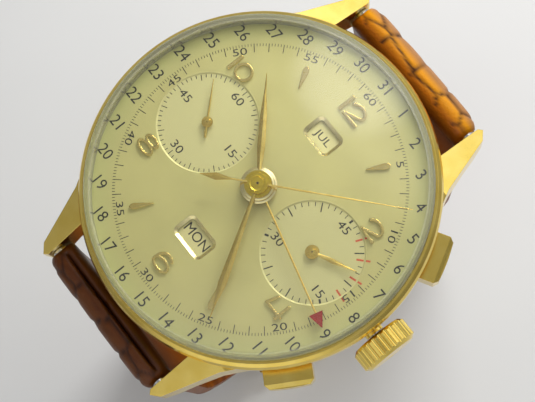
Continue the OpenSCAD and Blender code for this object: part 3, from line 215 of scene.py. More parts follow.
def metal(name, dark, light, rough, edge=0.0):
    """Polished metal: cloudy tint, worn patches of gloss, fine scratches and edges softened over edge mm."""
    shader = Shader(name, Metallic=1.0)
    shader.link(shader.ramp(shader.noise(size=2.2), (0.25, dark), (0.75, light)), "Base Color")
    worn = shader.noise(size=0.7, detail=4.0)
    shader.link(shader.ranged(worn, low=rough * 0.75, high=rough * 1.3), "Roughness")
    normal = None
    if edge:
        normal = shader.add("ShaderNodeBevel", {"Radius": edge * MM}, samples=4).outputs[0]
    scratches = shader.noise(size=0.05, detail=2.0, stretch=(1, 6, 1))
    shader.link(shader.bump(scratches, depth=0.004, strength=0.25, normal=normal), "Normal")
    return shader.material


def dial_paint(name, base, counter, rim, rough=0.4):
    """Silvered dial: fine grain, slow changes of tint, paler turned counters and a greener rim."""
    rim_start = 15.0
    rim_end = 18.0
    ring_waves = 40.0
    shader = Shader(name, Metallic=0.5)
    flat = shader.coords((1, 1, 0))

    def distance(x):
        """Distance from a point on the line from 9 to 3."""
        return shader.vector("DISTANCE", {0: flat, 1: (x, 0, 0)}, "Value")

    pale = tuple(min(1.0, v * 1.1) for v in base)
    cloud = shader.ramp(shader.noise(size=5.0, detail=2.0), (0.3, base), (0.7, pale))
    near = shader.maths("MINIMUM", distance(SUB_X), distance(-SUB_X))
    inside = shader.zone(near, start=SUB_R + 0.02, end=SUB_R - 0.02)
    plain = shader.blend(inside, cloud, (*counter, 1.0))
    edge = shader.zone(distance(0.0), rim_start, rim_end)
    shader.link(shader.blend(edge, plain, (*rim, 1.0)), "Base Color")
    shader.link(shader.ranged(shader.noise(size=0.25), rough - 0.05, rough + 0.05), "Roughness")
    grain = shader.bump(shader.noise(size=0.05, detail=2.0), depth=0.004, strength=0.3)
    rings = shader.maths("SINE", shader.maths("MULTIPLY", near, ring_waves))
    shader.link(shader.bump(rings, depth=0.0015, strength=inside, normal=grain), "Normal")
    return shader.material


def ink(name, colour, rough=0.45):
    """Printed ink with a faint unevenness."""
    shader = Shader(name)
    pale = tuple(v * 1.25 + 0.004 for v in colour)
    shader.link(shader.ramp(shader.noise(size=0.3), (0.3, colour), (0.8, pale)), "Base Color")
    shader.link(shader.ranged(shader.noise(size=0.2), rough - 0.1, rough + 0.1), "Roughness")
    return shader.material


def leather_hide(name, *painted_light_and_shade):
    """Glazed hide: dark creases between the scales, painted shade in the fold slit, streaks across, painted
    light and shade by the lugs, pores and wrinkles.

    The painted light and shade is four colours, from the side next to the case out to the strap's edge.
    """
    crease_and_slit_shade_colour = srgb(48, 19, 4)
    base = srgb(104, 50, 9)
    lit = srgb(142, 76, 12)
    painted_light_places = (0.0, 0.35, 0.7, 0.9)
    case_side = 18.9
    outer_side = 22.3
    painted_light_low = -14.0
    painted_light_high = 1.0
    shader = Shader(name, Specular_IOR_Level=0.25, Coat_Weight=0.08, Coat_Roughness=0.25)
    # The crease mark darkens the creases between the scales and paints shade into the fold slit.
    crease = shader.add("ShaderNodeAttribute", attribute_name="crease").outputs["Fac"]
    streaks = shader.noise(size=1.3, detail=5.0, stretch=(0.4, 1.0, 1.0))
    hide = shader.ramp(streaks, (0.3, base), (0.52, lit), (0.72, base))
    place = shader.add("ShaderNodeSeparateXYZ", {0: shader.coords()}).outputs
    # Painted light and shade by the lugs: colours across the strap from the case side out to its edge, laid
    # over the hide at up to 70 percent towards the lugs.
    outward = shader.zone(shader.maths("ABSOLUTE", place["Y"]), case_side, outer_side)
    painted_light_colour = shader.ramp(outward, *zip(painted_light_places, painted_light_and_shade))
    near_lugs = shader.zone(place["Z"], painted_light_low, painted_light_high, top=0.7)
    shaded = shader.blend(near_lugs, hide, painted_light_colour)
    shader.link(shader.blend(crease, shaded, (*crease_and_slit_shade_colour, 1.0)), "Base Color")
    shader.link(shader.ranged(shader.noise(size=0.5, detail=4.0), low=0.3, high=0.5), "Roughness")
    folds = shader.noise(size=0.35, detail=6.0, stretch=(1.0, 1.0, 2.2))
    wrinkles = shader.bump(folds, depth=0.12, strength=0.5)
    pores = shader.noise(size=0.12, detail=2.0)
    shader.link(shader.bump(pores, depth=0.03, strength=0.4, normal=wrinkles), "Normal")
    return shader.material


def dome_normal(shader):
    """Normal of a true sphere on the facets of the crystal's dome, and the facet's own elsewhere."""
    facet = shader.add("ShaderNodeNewGeometry").outputs["Normal"]
    middle = (0, 0, span("crystal", 2)[1] - DOME_R)
    ball = shader.vector("NORMALIZE", {0: shader.vector("SUBTRACT", {0: shader.coords(), 1: middle})})
    match = shader.vector("DOT_PRODUCT", {0: ball, 1: facet}, "Value")
    faced = shader.vector("SCALE", {0: ball, "Scale": shader.maths("SIGN", match)})
    on_dome = shader.zone(shader.maths("ABSOLUTE", match), start=0.985, end=0.995)
    inputs = {"Factor": on_dome, "A": facet, "B": faced}
    return shader.add("ShaderNodeMix", inputs, data_type="VECTOR").outputs["Result"]


def clear_crystal(name):
    """Clear acrylic that lets the light on to the dial, with faint polishing marks and a pale rim of painted
    light at its edge.
    """
    clear = (0.98, 0.98, 0.95, 1.0)
    rim_light_colour = (0.60, 0.59, 0.38, 1.0)
    passed_light = (0.97, 0.97, 0.94, 1.0)
    shader = Shader(name, IOR=1.49)
    shader.link(shader.ranged(shader.noise(size=3.0), low=0.0, high=0.02), "Roughness")
    shader.link(dome_normal(shader), "Normal")
    # Pale rim: less clear and a pale colour, painted light that brightens the crystal's edge.
    painted_rim_light = shader.zone(shader.axis_distance(), start=CRYSTAL_RIM - 0.2, end=CRYSTAL_RIM + 0.1)
    shader.link(shader.ranged(painted_rim_light, low=1.0, high=0.72), "Transmission Weight")
    shader.link(shader.blend(painted_rim_light, clear, rim_light_colour), "Base Color")
    path = shader.add("ShaderNodeLightPath").outputs["Is Shadow Ray"]
    through = shader.add("ShaderNodeBsdfTransparent", {"Color": passed_light}).outputs[0]
    mix = shader.add("ShaderNodeMixShader", {0: path, 1: shader.bsdf.outputs[0], 2: through})
    output = shader.tree.nodes["Material Output"]
    shader.tree.links.new(mix.outputs[0], output.inputs["Surface"])
    return shader.material


def date_hand_gold(name, light, red):
    """Gold up to the arrow head, and red enamel on it."""
    shader = Shader(name, Roughness=0.25)
    head = shader.maths("GREATER_THAN", shader.axis_distance(), ARROW_START)
    enamel = shader.ramp(shader.noise(size=0.4), (0.3, red), (0.8, tuple(v * 1.3 for v in red)))
    shader.link(shader.blend(head, (*light, 1.0), enamel), "Base Color")
    shader.link(shader.maths("SUBTRACT", 1.0, head), "Metallic")
    return shader.material


DISC_COLOUR = srgb(212, 205, 150)
MATERIALS = {
    "gold": metal("gold", (0.84, 0.61, 0.12), (0.94, 0.72, 0.20), 0.17, edge=0.07),
    "hand_gold": metal("hand_gold", (0.78, 0.58, 0.14), (0.90, 0.72, 0.24), 0.22),
    "marker_gold": metal("marker_gold", (0.84, 0.68, 0.22), (0.93, 0.78, 0.32), 0.2, edge=0.13),
    "hub_pale": metal("hub_pale", (0.92, 0.82, 0.42), (0.97, 0.88, 0.52), 0.16),
    "hub_gold": metal("hub_gold", (0.80, 0.60, 0.06), (0.90, 0.70, 0.10), 0.2),
    "steel": metal("steel", (0.52, 0.52, 0.50), (0.66, 0.66, 0.65), 0.24, edge=0.03),
    "movement_brass": metal("movement_brass", (0.66, 0.50, 0.24), (0.80, 0.64, 0.34), 0.3, edge=0.03),
    "blued": metal("blued", (0.02, 0.03, 0.12), (0.04, 0.06, 0.2), 0.25),
    "dial": dial_paint("dial", base=srgb(192, 186, 126), counter=srgb(206, 201, 146),
                       rim=srgb(188, 190, 132)),
    "print_disc": dial_paint("print_disc", DISC_COLOUR, DISC_COLOUR, DISC_COLOUR, rough=0.5),
    "black_ink": ink("black_ink", (0.012, 0.012, 0.011)),
    "red_ink": ink("red_ink", srgb(186, 80, 48)),
    "pin": ink("pin", (0.05, 0.035, 0.015), rough=0.3),
    # Upper half: painted shade next to the case, a painted highlight across the middle and a painted sheen at
    # the outer edge, all by the lugs.
    "leather": leather_hide("leather", srgb(66, 25, 3), srgb(176, 96, 5), srgb(228, 154, 8),
                            srgb(164, 120, 72)),
    # Lower half: the same hide with darker painted shade by the lugs, on the side turned away from the light.
    "leather_painted_shade": leather_hide("leather_painted_shade", srgb(36, 14, 2), srgb(58, 26, 6), srgb(72, 34, 8),
                                 srgb(80, 46, 20)),
    "crystal": clear_crystal("crystal"),
    "date_red": date_hand_gold("date_red", light=(0.82, 0.62, 0.17), red=srgb(126, 32, 24)),
}
NODE_GROUPS = {
    "gold": {"case_middle", "bezel", "case_back", "crown_tube", "crown", "start_pusher", "reset_pusher",
             "date_corrector", "day_corrector", "month_corrector", "buckle_frame", "buckle_tongue"},
    "hand_gold": {"hour_hand", "minute_hand", "chronograph_hand", "small_seconds_hand",
                  "minute_counter_hand"},
    "movement_brass": {"main_plate", "barrel_bridge", "train_bridge", "balance_cock", "pallet_cock",
                       "chronograph_bridge", "barrel_drum", "centre_wheel", "third_wheel", "fourth_wheel",
                       "balance_wheel", "minute_wheel", "hour_wheel", "date_wheel", "chronograph_runner",
                       "minute_recorder", "coupling_wheel"},
    "blued": {"movement_screws", "hairspring"},
    "leather": {"strap_buckle_side", "strap_tail_side", "fixed_keeper", "loose_keeper"},
    "crystal": {"crystal"},
    "dial": {"dial"},
    "print_disc": {"day_disc", "month_disc"},
    "date_red": {"date_hand"},
    "marker_gold": {"hour_markers"},
}


def finish_for(node):
    """The material of a CAD node: steel unless it is in another group."""
    for finish, members in NODE_GROUPS.items():
        if node in members:
            return finish
    return "steel"


for name, obj in NODES.items():
    obj.data.materials.clear()
    obj.data.materials.append(MATERIALS[finish_for(name)])


# Mesh helpers

def add_piece(name, points, faces, finish, body, smooth=None):
    """A new piece from points in mm, riding on a body of the CAD frame, with edges smooth up to an angle."""
    mesh = bpy.data.meshes.new(name)
    mesh.from_pydata([Vector(p) * MM for p in points], [], [list(f) for f in faces])
    mesh.validate()
    mesh.materials.append(MATERIALS[finish])
    if smooth is not None:
        for polygon in mesh.polygons:
            polygon.use_smooth = True
        mesh.set_sharp_from_angle(angle=math.radians(smooth))
    obj = bpy.data.objects.new(name, mesh)
    bpy.context.scene.collection.objects.link(obj)
    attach(obj, body)
    return obj


def grid_faces(rows, columns, wrap_rows=False, wrap_columns=False):
    """Quads of a grid of points numbered row by row."""
    faces = []
    for i in range(rows if wrap_rows else rows - 1):
        for j in range(columns if wrap_columns else columns - 1):
            a = i * columns + j
            b = i * columns + (j + 1) % columns
            c = ((i + 1) % rows) * columns + (j + 1) % columns
            d = ((i + 1) % rows) * columns + j
            faces.append((a, b, c, d))
    return faces


def rounded_loop(half, low, high, corner, reach, steps):
    """Anticlockwise outline of a rectangle from y low to y high.

    Its corner arcs have their centres a corner in from the sides, and reach is their radius.
    """
    loop = []
    for k, (sx, sy) in enumerate(((1, 1), (-1, 1), (-1, -1), (1, -1))):
        x = sx * (half - corner)
        y = (high if sy > 0 else low) - sy * corner
        for i in range(steps + 1):
            angle = math.radians(90 * (k + i / steps))
            loop.append((x + reach * math.cos(angle), y + reach * math.sin(angle)))
    return loop


def clock(radius, degrees, centre=(0.0, 0.0)):
    """Point at a radius and an angle clockwise from 12."""
    a = math.radians(degrees)
    return (centre[0] + radius * math.sin(a), centre[1] + radius * math.cos(a))


class Artwork:
    """Thin printed marks gathered into one mesh."""

    glyph_cache = {}

    def __init__(self):
        self.points = []
        self.faces = []

    def add(self, points, faces):
        first = len(self.points)
        self.points.extend(points)
        self.faces.extend([tuple(first + i for i in f) for f in faces])

    def bar(self, start, end, width, z):
        """A flat stroke between two points of the dial."""
        a = Vector(start)
        b = Vector(end)
        side = Vector((a.y - b.y, b.x - a.x)).normalized() * (width / 2)
        outline = [a + side, a - side, b - side, b + side]
        points = [(p.x, p.y, z - INK_SINK) for p in outline] + [(p.x, p.y, z + INK) for p in outline]
        self.add(points, [(4, 5, 6, 7), (0, 1, 5, 4), (1, 2, 6, 5), (2, 3, 7, 6), (3, 0, 4, 7)])

    def text(self, words, place, height, z, turn=0.0, stretch=1.0):
        """Words of a given height, centred on a place and turned anticlockwise from upright."""
        points, faces = self.glyphs(words)
        move = Matrix.Translation((place[0], place[1], z)) @ Matrix.Rotation(math.radians(turn), 4, "Z")
        sized = [Vector((x * height * stretch, y * height, rise)) for x, y, rise in points]
        self.add([tuple(move @ p) for p in sized], faces)

    @classmethod
    def glyphs(cls, words):
        """Points and faces of some words, 1 high and centred, as thick as the ink."""
        if words not in cls.glyph_cache:
            curve = bpy.data.curves.new("glyph", "FONT")
            curve.body = words
            curve.resolution_u = 3
            curve.extrude = 0.5
            obj = bpy.data.objects.new("glyph", curve)
            mesh = bpy.data.meshes.new_from_object(obj)
            spots = np.array([v.co[:] for v in mesh.vertices])
            low, high = spots.min(0), spots.max(0)
            size = high[1] - low[1]
            flat = (spots - (low + high) / 2) / size
            flat[:, 2] = np.where(spots[:, 2] > 0, INK, -INK_SINK)
            cls.glyph_cache[words] = (flat.tolist(), [tuple(p.vertices) for p in mesh.polygons])
            bpy.data.objects.remove(obj)
            bpy.data.curves.remove(curve)
            bpy.data.meshes.remove(mesh)
        return cls.glyph_cache[words]

    def finish(self, name, ink_name, body, slot):
        return add_piece(name, self.points, self.faces, ink_name, body)


# Printing on the dial and on the calendar discs

COUNTER_TEXT = {"height": 0.9, "z": SUB_Z, "stretch": 1.25}


def print_seconds_track(art):
    """Strokes for every fifth of a second, longer on the second, with numerals every five."""
    track = 15.47
    fifth_from = 15.17
    second_from = 14.5
    numerals = 14.72
    for fifth in range(300):
        angle = 1.2 * fifth
        under_numeral = min(fifth % 25, 25 - fifth % 25) < 5
        whole = fifth % 5 == 0 and not under_numeral
        inner, width = (second_from, 0.08) if whole else (fifth_from, 0.06)
        art.bar(clock(inner, angle), clock(track, angle), width, DIAL_Z)
    for second in range(5, 65, 5):
        angle = 6 * second
        top_in = 105 < angle < 255
        turn = 180 - angle if top_in else -angle
        art.text(str(second), clock(numerals, angle), height=0.78, z=DIAL_Z, turn=turn, stretch=1.5)


def print_dates(art):
    """The ring of 31 dates at the dial's edge, all upright."""
    ring = 16.75
    days = 31
    for day in range(1, days + 1):
        art.text(str(day), clock(ring, day * 360 / days), height=1.25, z=DIAL_Z, stretch=0.95)


def print_small_seconds(art):
    """Small seconds at 9: a track of 60 and four numerals, each at its own distance from the middle."""
    centre = (-SUB_X, 0.0)
    short_from = 4.95
    long_from = 4.65
    for second in range(60):
        angle = 6 * second
        inner = short_from if second % 5 else long_from
        art.bar(clock(inner, angle, centre), clock(SUB_TRACK, angle, centre), 0.08, SUB_Z)
    for second, radius in ((15, 4.0), (30, 4.05), (45, 3.85), (60, 4.05)):
        art.text(str(second), clock(radius, 6 * second, centre), **COUNTER_TEXT)


def print_counter(art, red):
    """Minute counter at 3: 45 minutes, with red strokes at 3, 6, 9 and 12."""
    centre = (SUB_X, 0.0)
    short_from = 4.85
    long_from = 4.3
    red_from = 4.55
    red_to = 6.0
    red_width = 0.2
    for minute in range(45):
        angle = 8 * minute
        if minute in (3, 6, 9, 12):
            red.bar(clock(red_from, angle, centre), clock(SUB_TRACK, angle, centre), red_width, SUB_Z)
            red.bar(clock(SUB_R + 0.03, angle, centre), clock(red_to, angle, centre), red_width, DIAL_Z)
            continue
        if minute % 15 == 0:
            inner, width = short_from, 0.22
        elif minute % 5 == 0:
            inner, width = long_from, 0.12
        else:
            inner, width = short_from, 0.08
        art.bar(clock(inner, angle, centre), clock(SUB_TRACK, angle, centre), width, SUB_Z)
    for minute, radius in ((15, 4.1), (30, 3.85), (45, 4.15)):
        art.text(str(minute), clock(radius, 8 * minute, centre), **COUNTER_TEXT)


def print_disc(name, words, body, y, shift, height, stretch):
    """The words of a calendar disc one after the other round its centre, a shift off the window's middle."""
    art = Artwork()
    step = 360 / len(words)
    for k, word in enumerate(words):
        spot = Matrix.Rotation(math.radians(k * step), 2) @ Vector((-DISC_X, shift))
        place = (DISC_X + spot.x, y + spot.y)
        art.text(word, place, height, DISC_Z, turn=k * step, stretch=stretch)
    art.finish(name, "black_ink", body, "print_disc")


MONTHS = ("JUL", "AUG", "SEP", "OCT", "NOV", "DEC", "JAN", "FEB", "MAR", "APR", "MAY", "JUN")
DAYS = ("MON", "TUE", "WED", "THU", "FRI", "SAT", "SUN")
black = Artwork()
red = Artwork()
print_seconds_track(black)
print_dates(black)
print_small_seconds(black)
print_counter(black, red)
black.finish("dial_printing", "black_ink", "case", "dial")
red.finish("counter_marks", "red_ink", "case", "date_red")
print_disc("month_body_words", MONTHS, "month_body", WINDOW_Y, shift=-0.2, height=1.08, stretch=1.2)
print_disc("day_body_words", DAYS, "day_body", -WINDOW_Y, shift=0.19, height=1.1, stretch=0.95)


# Hubs of the hands and rims of the counters

CAP_STEPS = ((1.0, -0.02), (0.97, 0.05), (0.74, 0.06), (0.7, 0.03), (0.62, 0.03), (0.58, 0.07))
CAP_HOLE = 0.13


def lathe(name, profile, centre, finish, body, turns=48):
    """A turned piece from (radius, z) points, open only on its axis."""
    points = []
    for radius, z in profile:
        for k in range(turns):
            a = 2 * math.pi * k / turns
            points.append((centre[0] + radius * math.cos(a), centre[1] + radius * math.sin(a), z))
    faces = grid_faces(len(profile), turns, wrap_columns=True)
    return add_piece(name, points, faces, finish, body, smooth=35)


def hub_cap(name, hand, x, radius, finish, body):
    """Flat cap on a hand's hub, stepped by shares of its radius, with a dark pivot sunk in the middle."""
    top = span(hand, 2)[1]
    hole = radius * CAP_HOLE
    floor = top + 0.03
    steps = [(radius * share, top + rise) for share, rise in CAP_STEPS]
    steps += [(hole, top + 0.08), (hole, floor), (0.0, floor)]
    lathe(name, steps, (x, 0), finish, body)
    pivot = [(hole * 0.92, floor), (hole * 0.85, top + 0.05), (0.0, top + 0.055)]
    lathe(name + "_pivot", pivot, (x, 0), "pin", body)


def hub_ring(name, hand, inner, outer, rise, finish, body):
    """Polished ring on the flat of a hand's hub, rising from its edge to its inside."""
    skin = 0.01
    flat = 0.03
    top = span(hand, 2)[0] + HAND_T
    profile = [(outer, top - skin), (outer - skin, top + skin), (inner + flat, top + rise),
               (inner, top + rise), (inner, top - skin)]
    lathe(name, profile, (0, 0), finish, body)


def counter_rim(name, x):
    """The turned step from the dial down to a counter."""
    skin = 0.01
    step = [(SUB_R + 0.05, DIAL_Z - INK_SINK), (SUB_R + 0.03, DIAL_Z + INK), (SUB_R - 0.02, DIAL_Z + skin),
            (SUB_TRACK + 0.04, SUB_Z + skin), (SUB_TRACK + 0.03, SUB_Z - INK_SINK)]
    lathe(name, step, (x, 0), "dial", "case", turns=120)


hub_cap("centre_cap", "chronograph_hand", x=0, radius=1.1, finish="hub_gold", body="chronograph_arbor")
hub_cap("seconds_cap", "small_seconds_hand", x=-SUB_X, radius=0.5, finish="hand_gold", body="fourth_arbor")
hub_cap("counter_cap", "minute_counter_hand", x=SUB_X, radius=0.62, finish="hand_gold", body="recorder_arbor")
hub_ring("minute_hub_ring", "minute_hand", inner=1.05, outer=1.44, rise=0.03, finish="hub_gold",
         body="minute_hand_arbor")
hub_ring("hour_hub_ring", "hour_hand", inner=1.46, outer=1.69, rise=0.08, finish="hub_pale",
         body="hour_hand_arbor")
hub_ring("date_hub_ring", "date_hand", inner=1.71, outer=1.94, rise=0.08, finish="hub_pale",
         body="date_arbor")
counter_rim("seconds_rim", -SUB_X)
counter_rim("counter_rim", SUB_X)


# Polished bevels round the calendar windows

def window_frame(name, width, y):
    """A lip round a window and its bevel down to the disc."""
    lip = DIAL_Z + 0.008
    edges = [(WINDOW_BEVEL + 0.04, DIAL_Z - INK_SINK), (WINDOW_BEVEL + 0.03, lip),
             (WINDOW_BEVEL - 0.005, lip), (-0.01, DIAL_Z - WINDOW_DEPTH)]
    rows = []
    for grow, z in edges:
        loop = rounded_loop(width / 2, y - WINDOW_H / 2, y + WINDOW_H / 2, WINDOW_CORNER,
                            reach=WINDOW_CORNER + grow, steps=5)
        rows.append([(px, py, z) for px, py in loop])
    faces = grid_faces(len(rows), len(rows[0]), wrap_columns=True)
    add_piece(name, sum(rows, []), faces, "hub_pale", "case", smooth=25)


window_frame("month_frame", width=3.2, y=WINDOW_Y)
window_frame("day_frame", width=3.7, y=-WINDOW_Y)


# Leather strap

BAR_STEPS = 24


def route(s, side):
    """Point (y, z) of the strap's centre line s mm from its spring bar, and the outward direction there."""
    if s < SIDE_LEN:
        y, z, out = BAR_Y, BAR_Z - s, (1.0, 0.0)
    elif s < SIDE_LEN + BEND_LEN:
        a = (s - SIDE_LEN) / BEND_R
        out = (math.cos(a), -math.sin(a))
        y, z = FLAT_HALF + BEND_R * out[0], LOOP_Z + BEND_R + BEND_R * out[1]
    elif s < SIDE_LEN + BEND_LEN + 2 * FLAT_HALF:
        y, z, out = FLAT_HALF - (s - SIDE_LEN - BEND_LEN), LOOP_Z, (0.0, -1.0)
    else:
        a = (s - SIDE_LEN - BEND_LEN - 2 * FLAT_HALF) / BEND_R
        out = (-math.sin(a), -math.cos(a))
        y, z = -FLAT_HALF + BEND_R * out[0], LOOP_Z + BEND_R + BEND_R * out[1]
    return side * y, z, side * out[0], out[1]


def strap_thick(s):
    """Thickness s mm from the spring bar."""
    return LUG_THICK + (STRAP_THICK - LUG_THICK) * min(1.0, s / THINNING_LEN) ** THINNING_POWER


def strap_half(s):
    """Half the width s mm from the spring bar."""
    return (LUG_WIDTH + (STRAP_WIDTH - LUG_WIDTH) * min(1.0, s / SIDE_LEN)) / 2


def tail_share(s):
    """0 where the tail runs on its own and 1 where it lies on the buckle half, eased between."""
    share = min(1.0, max(0.0, (s - RAMP_START) / RAMP_LEN))
    return share * share * (3 - 2 * share)


def tail_lift(s):
    return TAIL_LIFT * tail_share(s)


def tail_thick(s):
    return strap_thick(s) + (TAIL_THICK - strap_thick(s)) * tail_share(s)


def tail_half(s):
    point = max(0.0, (s - (TAIL_LEN - TIP_LEN)) / TIP_LEN)
    return strap_half(s) * math.sqrt(1 - TIP_TAPER * point ** 2) - TAIL_EASE * min(1.0, s / SIDE_LEN)


class Scales:
    """Scales of the hide as jittered cells: large across the middle, small and round at the edges."""

    COLUMNS = (-8.2, -6.1, -2.2, 2.2, 6.1, 8.2)
    STAGGERED = (1, 4)
    PITCH = (2.6, 3.8)
    JITTER_ALONG = 0.55
    JITTER_ACROSS = 0.7
    MARGIN = 4.0
    SQUASH = 1.15
    CREASE_WIDTH = 0.42

    def __init__(self, seed, length):
        rng = np.random.default_rng(seed)
        seeds = []
        along = -self.MARGIN
        while along < length + self.MARGIN:
            pitch = rng.uniform(*self.PITCH)
            for column, x in enumerate(self.COLUMNS):
                shift = 0.5 * pitch if column in self.STAGGERED else 0.0
                s = along + shift + rng.uniform(-self.JITTER_ALONG, self.JITTER_ALONG)
                seeds.append((s, x + rng.uniform(-self.JITTER_ACROSS, self.JITTER_ACROSS)))
            along += pitch
        self.seeds = np.array(seeds)

    def crease(self, s, x):
        """1 in a crease and 0 on the crown of a scale."""
        away = np.hypot((self.seeds[:, 0] - s) * self.SQUASH, self.seeds[:, 1] - x)
        first, second = np.partition(away, 1)[:2]
        return math.exp(-((second - first) / self.CREASE_WIDTH) ** 2)


def strap_profile(stations, lift_of, thick_of, side):
    """Closed outline along the strap: up the inside, over the bar, down the outside and round the end.

    A point's face goes from -1 inside to 1 outside, and over is 1 on the way round the bar.
    """
    turn = [-math.cos(math.pi * k / BAR_STEPS) for k in range(1, BAR_STEPS)]
    outline = [(s, -1.0, 0.0, 0.0) for s in reversed(stations)]
    outline += [(stations[0], face, 1.0, 0.0) for face in turn]
    outline += [(s, 1.0, 0.0, 0.0) for s in stations]
    outline += [(stations[-1], -face, 0.0, 1.0) for face in turn]
    points = []
    for s, face, over, past in outline:
        half = thick_of(s) / 2
        bulge = half * math.sqrt(max(0.0, 1 - face * face))
        y, z, out_y, out_z = route(s + past * bulge, side)
        reach = lift_of(s) + half * face
        points.append((s, face, over, y + out_y * reach, z + out_z * reach + over * bulge, out_y, out_z))
    return points


def fold_slit(u, face):
    """Depth of the slit where the leather folded round the bar meets the padded body."""
    depth = 0.75
    slit_face = -0.36
    slit_width = 0.10
    end = 0.93
    along = max(0.0, 1 - (u / end) ** 8)
    return depth * along * math.exp(-((face - slit_face) / slit_width) ** 2)


# Relief of the strap: depths in mm, and shares of them at the edges, on the inside and over the bar
CREASE_DEPTH = 0.2
BAR_CREASE_DEPTH = 0.12
BAR_GRAIN_LEN = 2.5
GRAIN_END_FACE = -0.5
EDGE_GRAIN = 0.35
GRAIN_POWER = 6
EDGE_DROP = 0.32
EDGE_POWER = 11
INSIDE_DROP = 0.25
BAR_DROP = 0.5
# Painted shade in the fold slit: how strongly the slit's depth darkens it.
SLIT_SHADE = 1.6


def strap_surface(profile, across, hide, half_of, thick_of, slit):
    """Points of the strap: scales pressed in outside, crowned across, rounded at its edges."""
    points = []
    crease_and_slit_shade = []
    for s, face, over, y, z, out_y, out_z in profile:
        half = half_of(s)
        thick = thick_of(s)
        rise = over * math.sqrt(max(0.0, 1 - face * face))
        inside = face <= GRAIN_END_FACE
        for u in across:
            crown = EDGE_DROP * thick * (1 - math.sqrt(max(0.0, 1 - abs(u) ** EDGE_POWER)))
            deep = 0.0
            if not inside:
                grain = EDGE_GRAIN + (1 - EDGE_GRAIN) * (1 - abs(u) ** GRAIN_POWER)
                deep = hide.crease(s - BAR_GRAIN_LEN * (1 - face) * over, u * half) * grain
            cut = fold_slit(u, face) if slit and over else 0.0
            sink = (CREASE_DEPTH * deep + crown) * max(0.0, face) - INSIDE_DROP * crown * inside
            down = rise * (BAR_CREASE_DEPTH * deep + crown * (1 + BAR_DROP * rise) + cut)
            points.append((u * half, y - out_y * (sink + cut * face), z - out_z * sink - down))
            # Painted shade of the slit goes into the crease mark along with the creases.
            crease_and_slit_shade.append(max(deep, min(1.0, SLIT_SHADE * cut)))
    return points, crease_and_slit_shade


def side_wall(rows, columns, middle, column):
    """Faces that close the strap's edge, zipped from over the bar to the end."""
    faces = []
    for t in range(rows // 2):
        ring = [(middle + shift) % rows for shift in (-t - 1, -t, t, t + 1)]
        faces.append([row * columns + column for row in dict.fromkeys(ring)])
    return faces


def slot_cutter(half, start, end, corner, low, high):
    """Points and faces of an upright prism that cuts a slot with rounded corners from y start to y end."""
    outline = rounded_loop(half, start, end, corner, reach=corner, steps=6)
    count = len(outline)
    points = [(x, y, z) for z in (low, high) for x, y in outline]
    sides = [(k, (k + 1) % count, count + (k + 1) % count, count + k) for k in range(count)]
    return points, [tuple(reversed(range(count)))] + sides + [tuple(range(count, 2 * count))]


def face_outward(mesh):
    """Turn the faces of a closed mesh outwards."""
    shell = bmesh.new()
    shell.from_mesh(mesh)
    bmesh.ops.recalc_face_normals(shell, faces=shell.faces)
    if shell.calc_volume(signed=True) < 0:
        bmesh.ops.reverse_faces(shell, faces=shell.faces)
    shell.to_mesh(mesh)
    shell.free()


def carve(mesh, tools):
    """A copy of a closed mesh with some prisms cut away."""
    rough = bpy.data.objects.new("rough", mesh)
    bpy.context.scene.collection.objects.link(rough)
    cutters = []
    for points, faces in tools:
        shape = bpy.data.meshes.new("cutter")
        shape.from_pydata([Vector(p) * MM for p in points], [], faces)
        cutter = bpy.data.objects.new("cutter", shape)
        bpy.context.scene.collection.objects.link(cutter)
        cutters.append(cutter)
        cut = rough.modifiers.new("cut", "BOOLEAN")
        cut.solver = "MANIFOLD"
        cut.object = cutter
    bpy.context.view_layer.update()
    carved = bpy.data.meshes.new_from_object(rough.evaluated_get(bpy.context.evaluated_depsgraph_get()))
    for obj in [rough] + cutters:
        bpy.data.objects.remove(obj)
    return carved


def build_strap(name, node, side, length, lift_of, thick_of, half_of, seed, finish, tools, slit=False):
    """A padded strap half in place of its CAD node, with its openings cut through."""
    step = 0.4
    columns = 45
    crowding = 0.35
    stations = np.arange(0.0, length + step / 2, step).tolist()
    profile = strap_profile(stations, lift_of, thick_of, side)
    even = np.linspace(-1, 1, columns)
    to_edges = np.sin(np.linspace(-math.pi / 2, math.pi / 2, columns))
    across = to_edges * crowding + even * (1 - crowding)
    points, crease_and_slit_shade = strap_surface(profile, across, Scales(seed, length), half_of, thick_of, slit)
    rows = len(profile)
    faces = grid_faces(rows, columns, wrap_rows=True)
    for column in (0, columns - 1):
        faces += side_wall(rows, columns, len(stations) + BAR_STEPS // 2 - 1, column)
    obj = add_piece(name, points, faces, finish, "case", smooth=60)
    # The crease mark holds the creases and the painted shade of the fold slit.
    layer = obj.data.attributes.new("crease", "FLOAT", "POINT")
    layer.data.foreach_set("value", crease_and_slit_shade)
    face_outward(obj.data)
    obj.data = carve(obj.data, tools)
    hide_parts(node)


def keeper_band(name, node, body):
    """A stitched-shut leather loop with rounded corners and edges."""
    (left, front, low), (right, back, high) = [[v / MM for v in corner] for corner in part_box(node)]
    thick = 0.8
    corner = 1.4
    corner_steps = 8
    section_steps = 16
    squareness = 0.45
    path = []
    for cx, cz, start in ((right - corner, high - corner, 0), (left + corner, high - corner, 90),
                          (left + corner, low + corner, 180), (right - corner, low + corner, 270)):
        for k in range(corner_steps + 1):
            a = math.radians(start + 90 * k / corner_steps)
            path.append((cx, cz, math.cos(a), math.sin(a)))
    section = []
    for k in range(section_steps):
        a = 2 * math.pi * k / section_steps
        soft = [math.copysign(abs(v) ** squareness, v) for v in (math.cos(a), math.sin(a))]
        section.append(((front + back) / 2 + soft[0] * (back - front) / 2, soft[1] * thick / 2))
    points = []
    for cx, cz, nx, nz in path:
        for y, out in section:
            reach = corner - thick / 2 + out
            points.append((cx + nx * reach, y, cz + nz * reach))
    faces = grid_faces(len(path), len(section), wrap_rows=True, wrap_columns=True)
    obj = add_piece(name, points, faces, "leather_painted_shade", body, smooth=50)
    face_outward(obj.data)
    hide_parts(node)


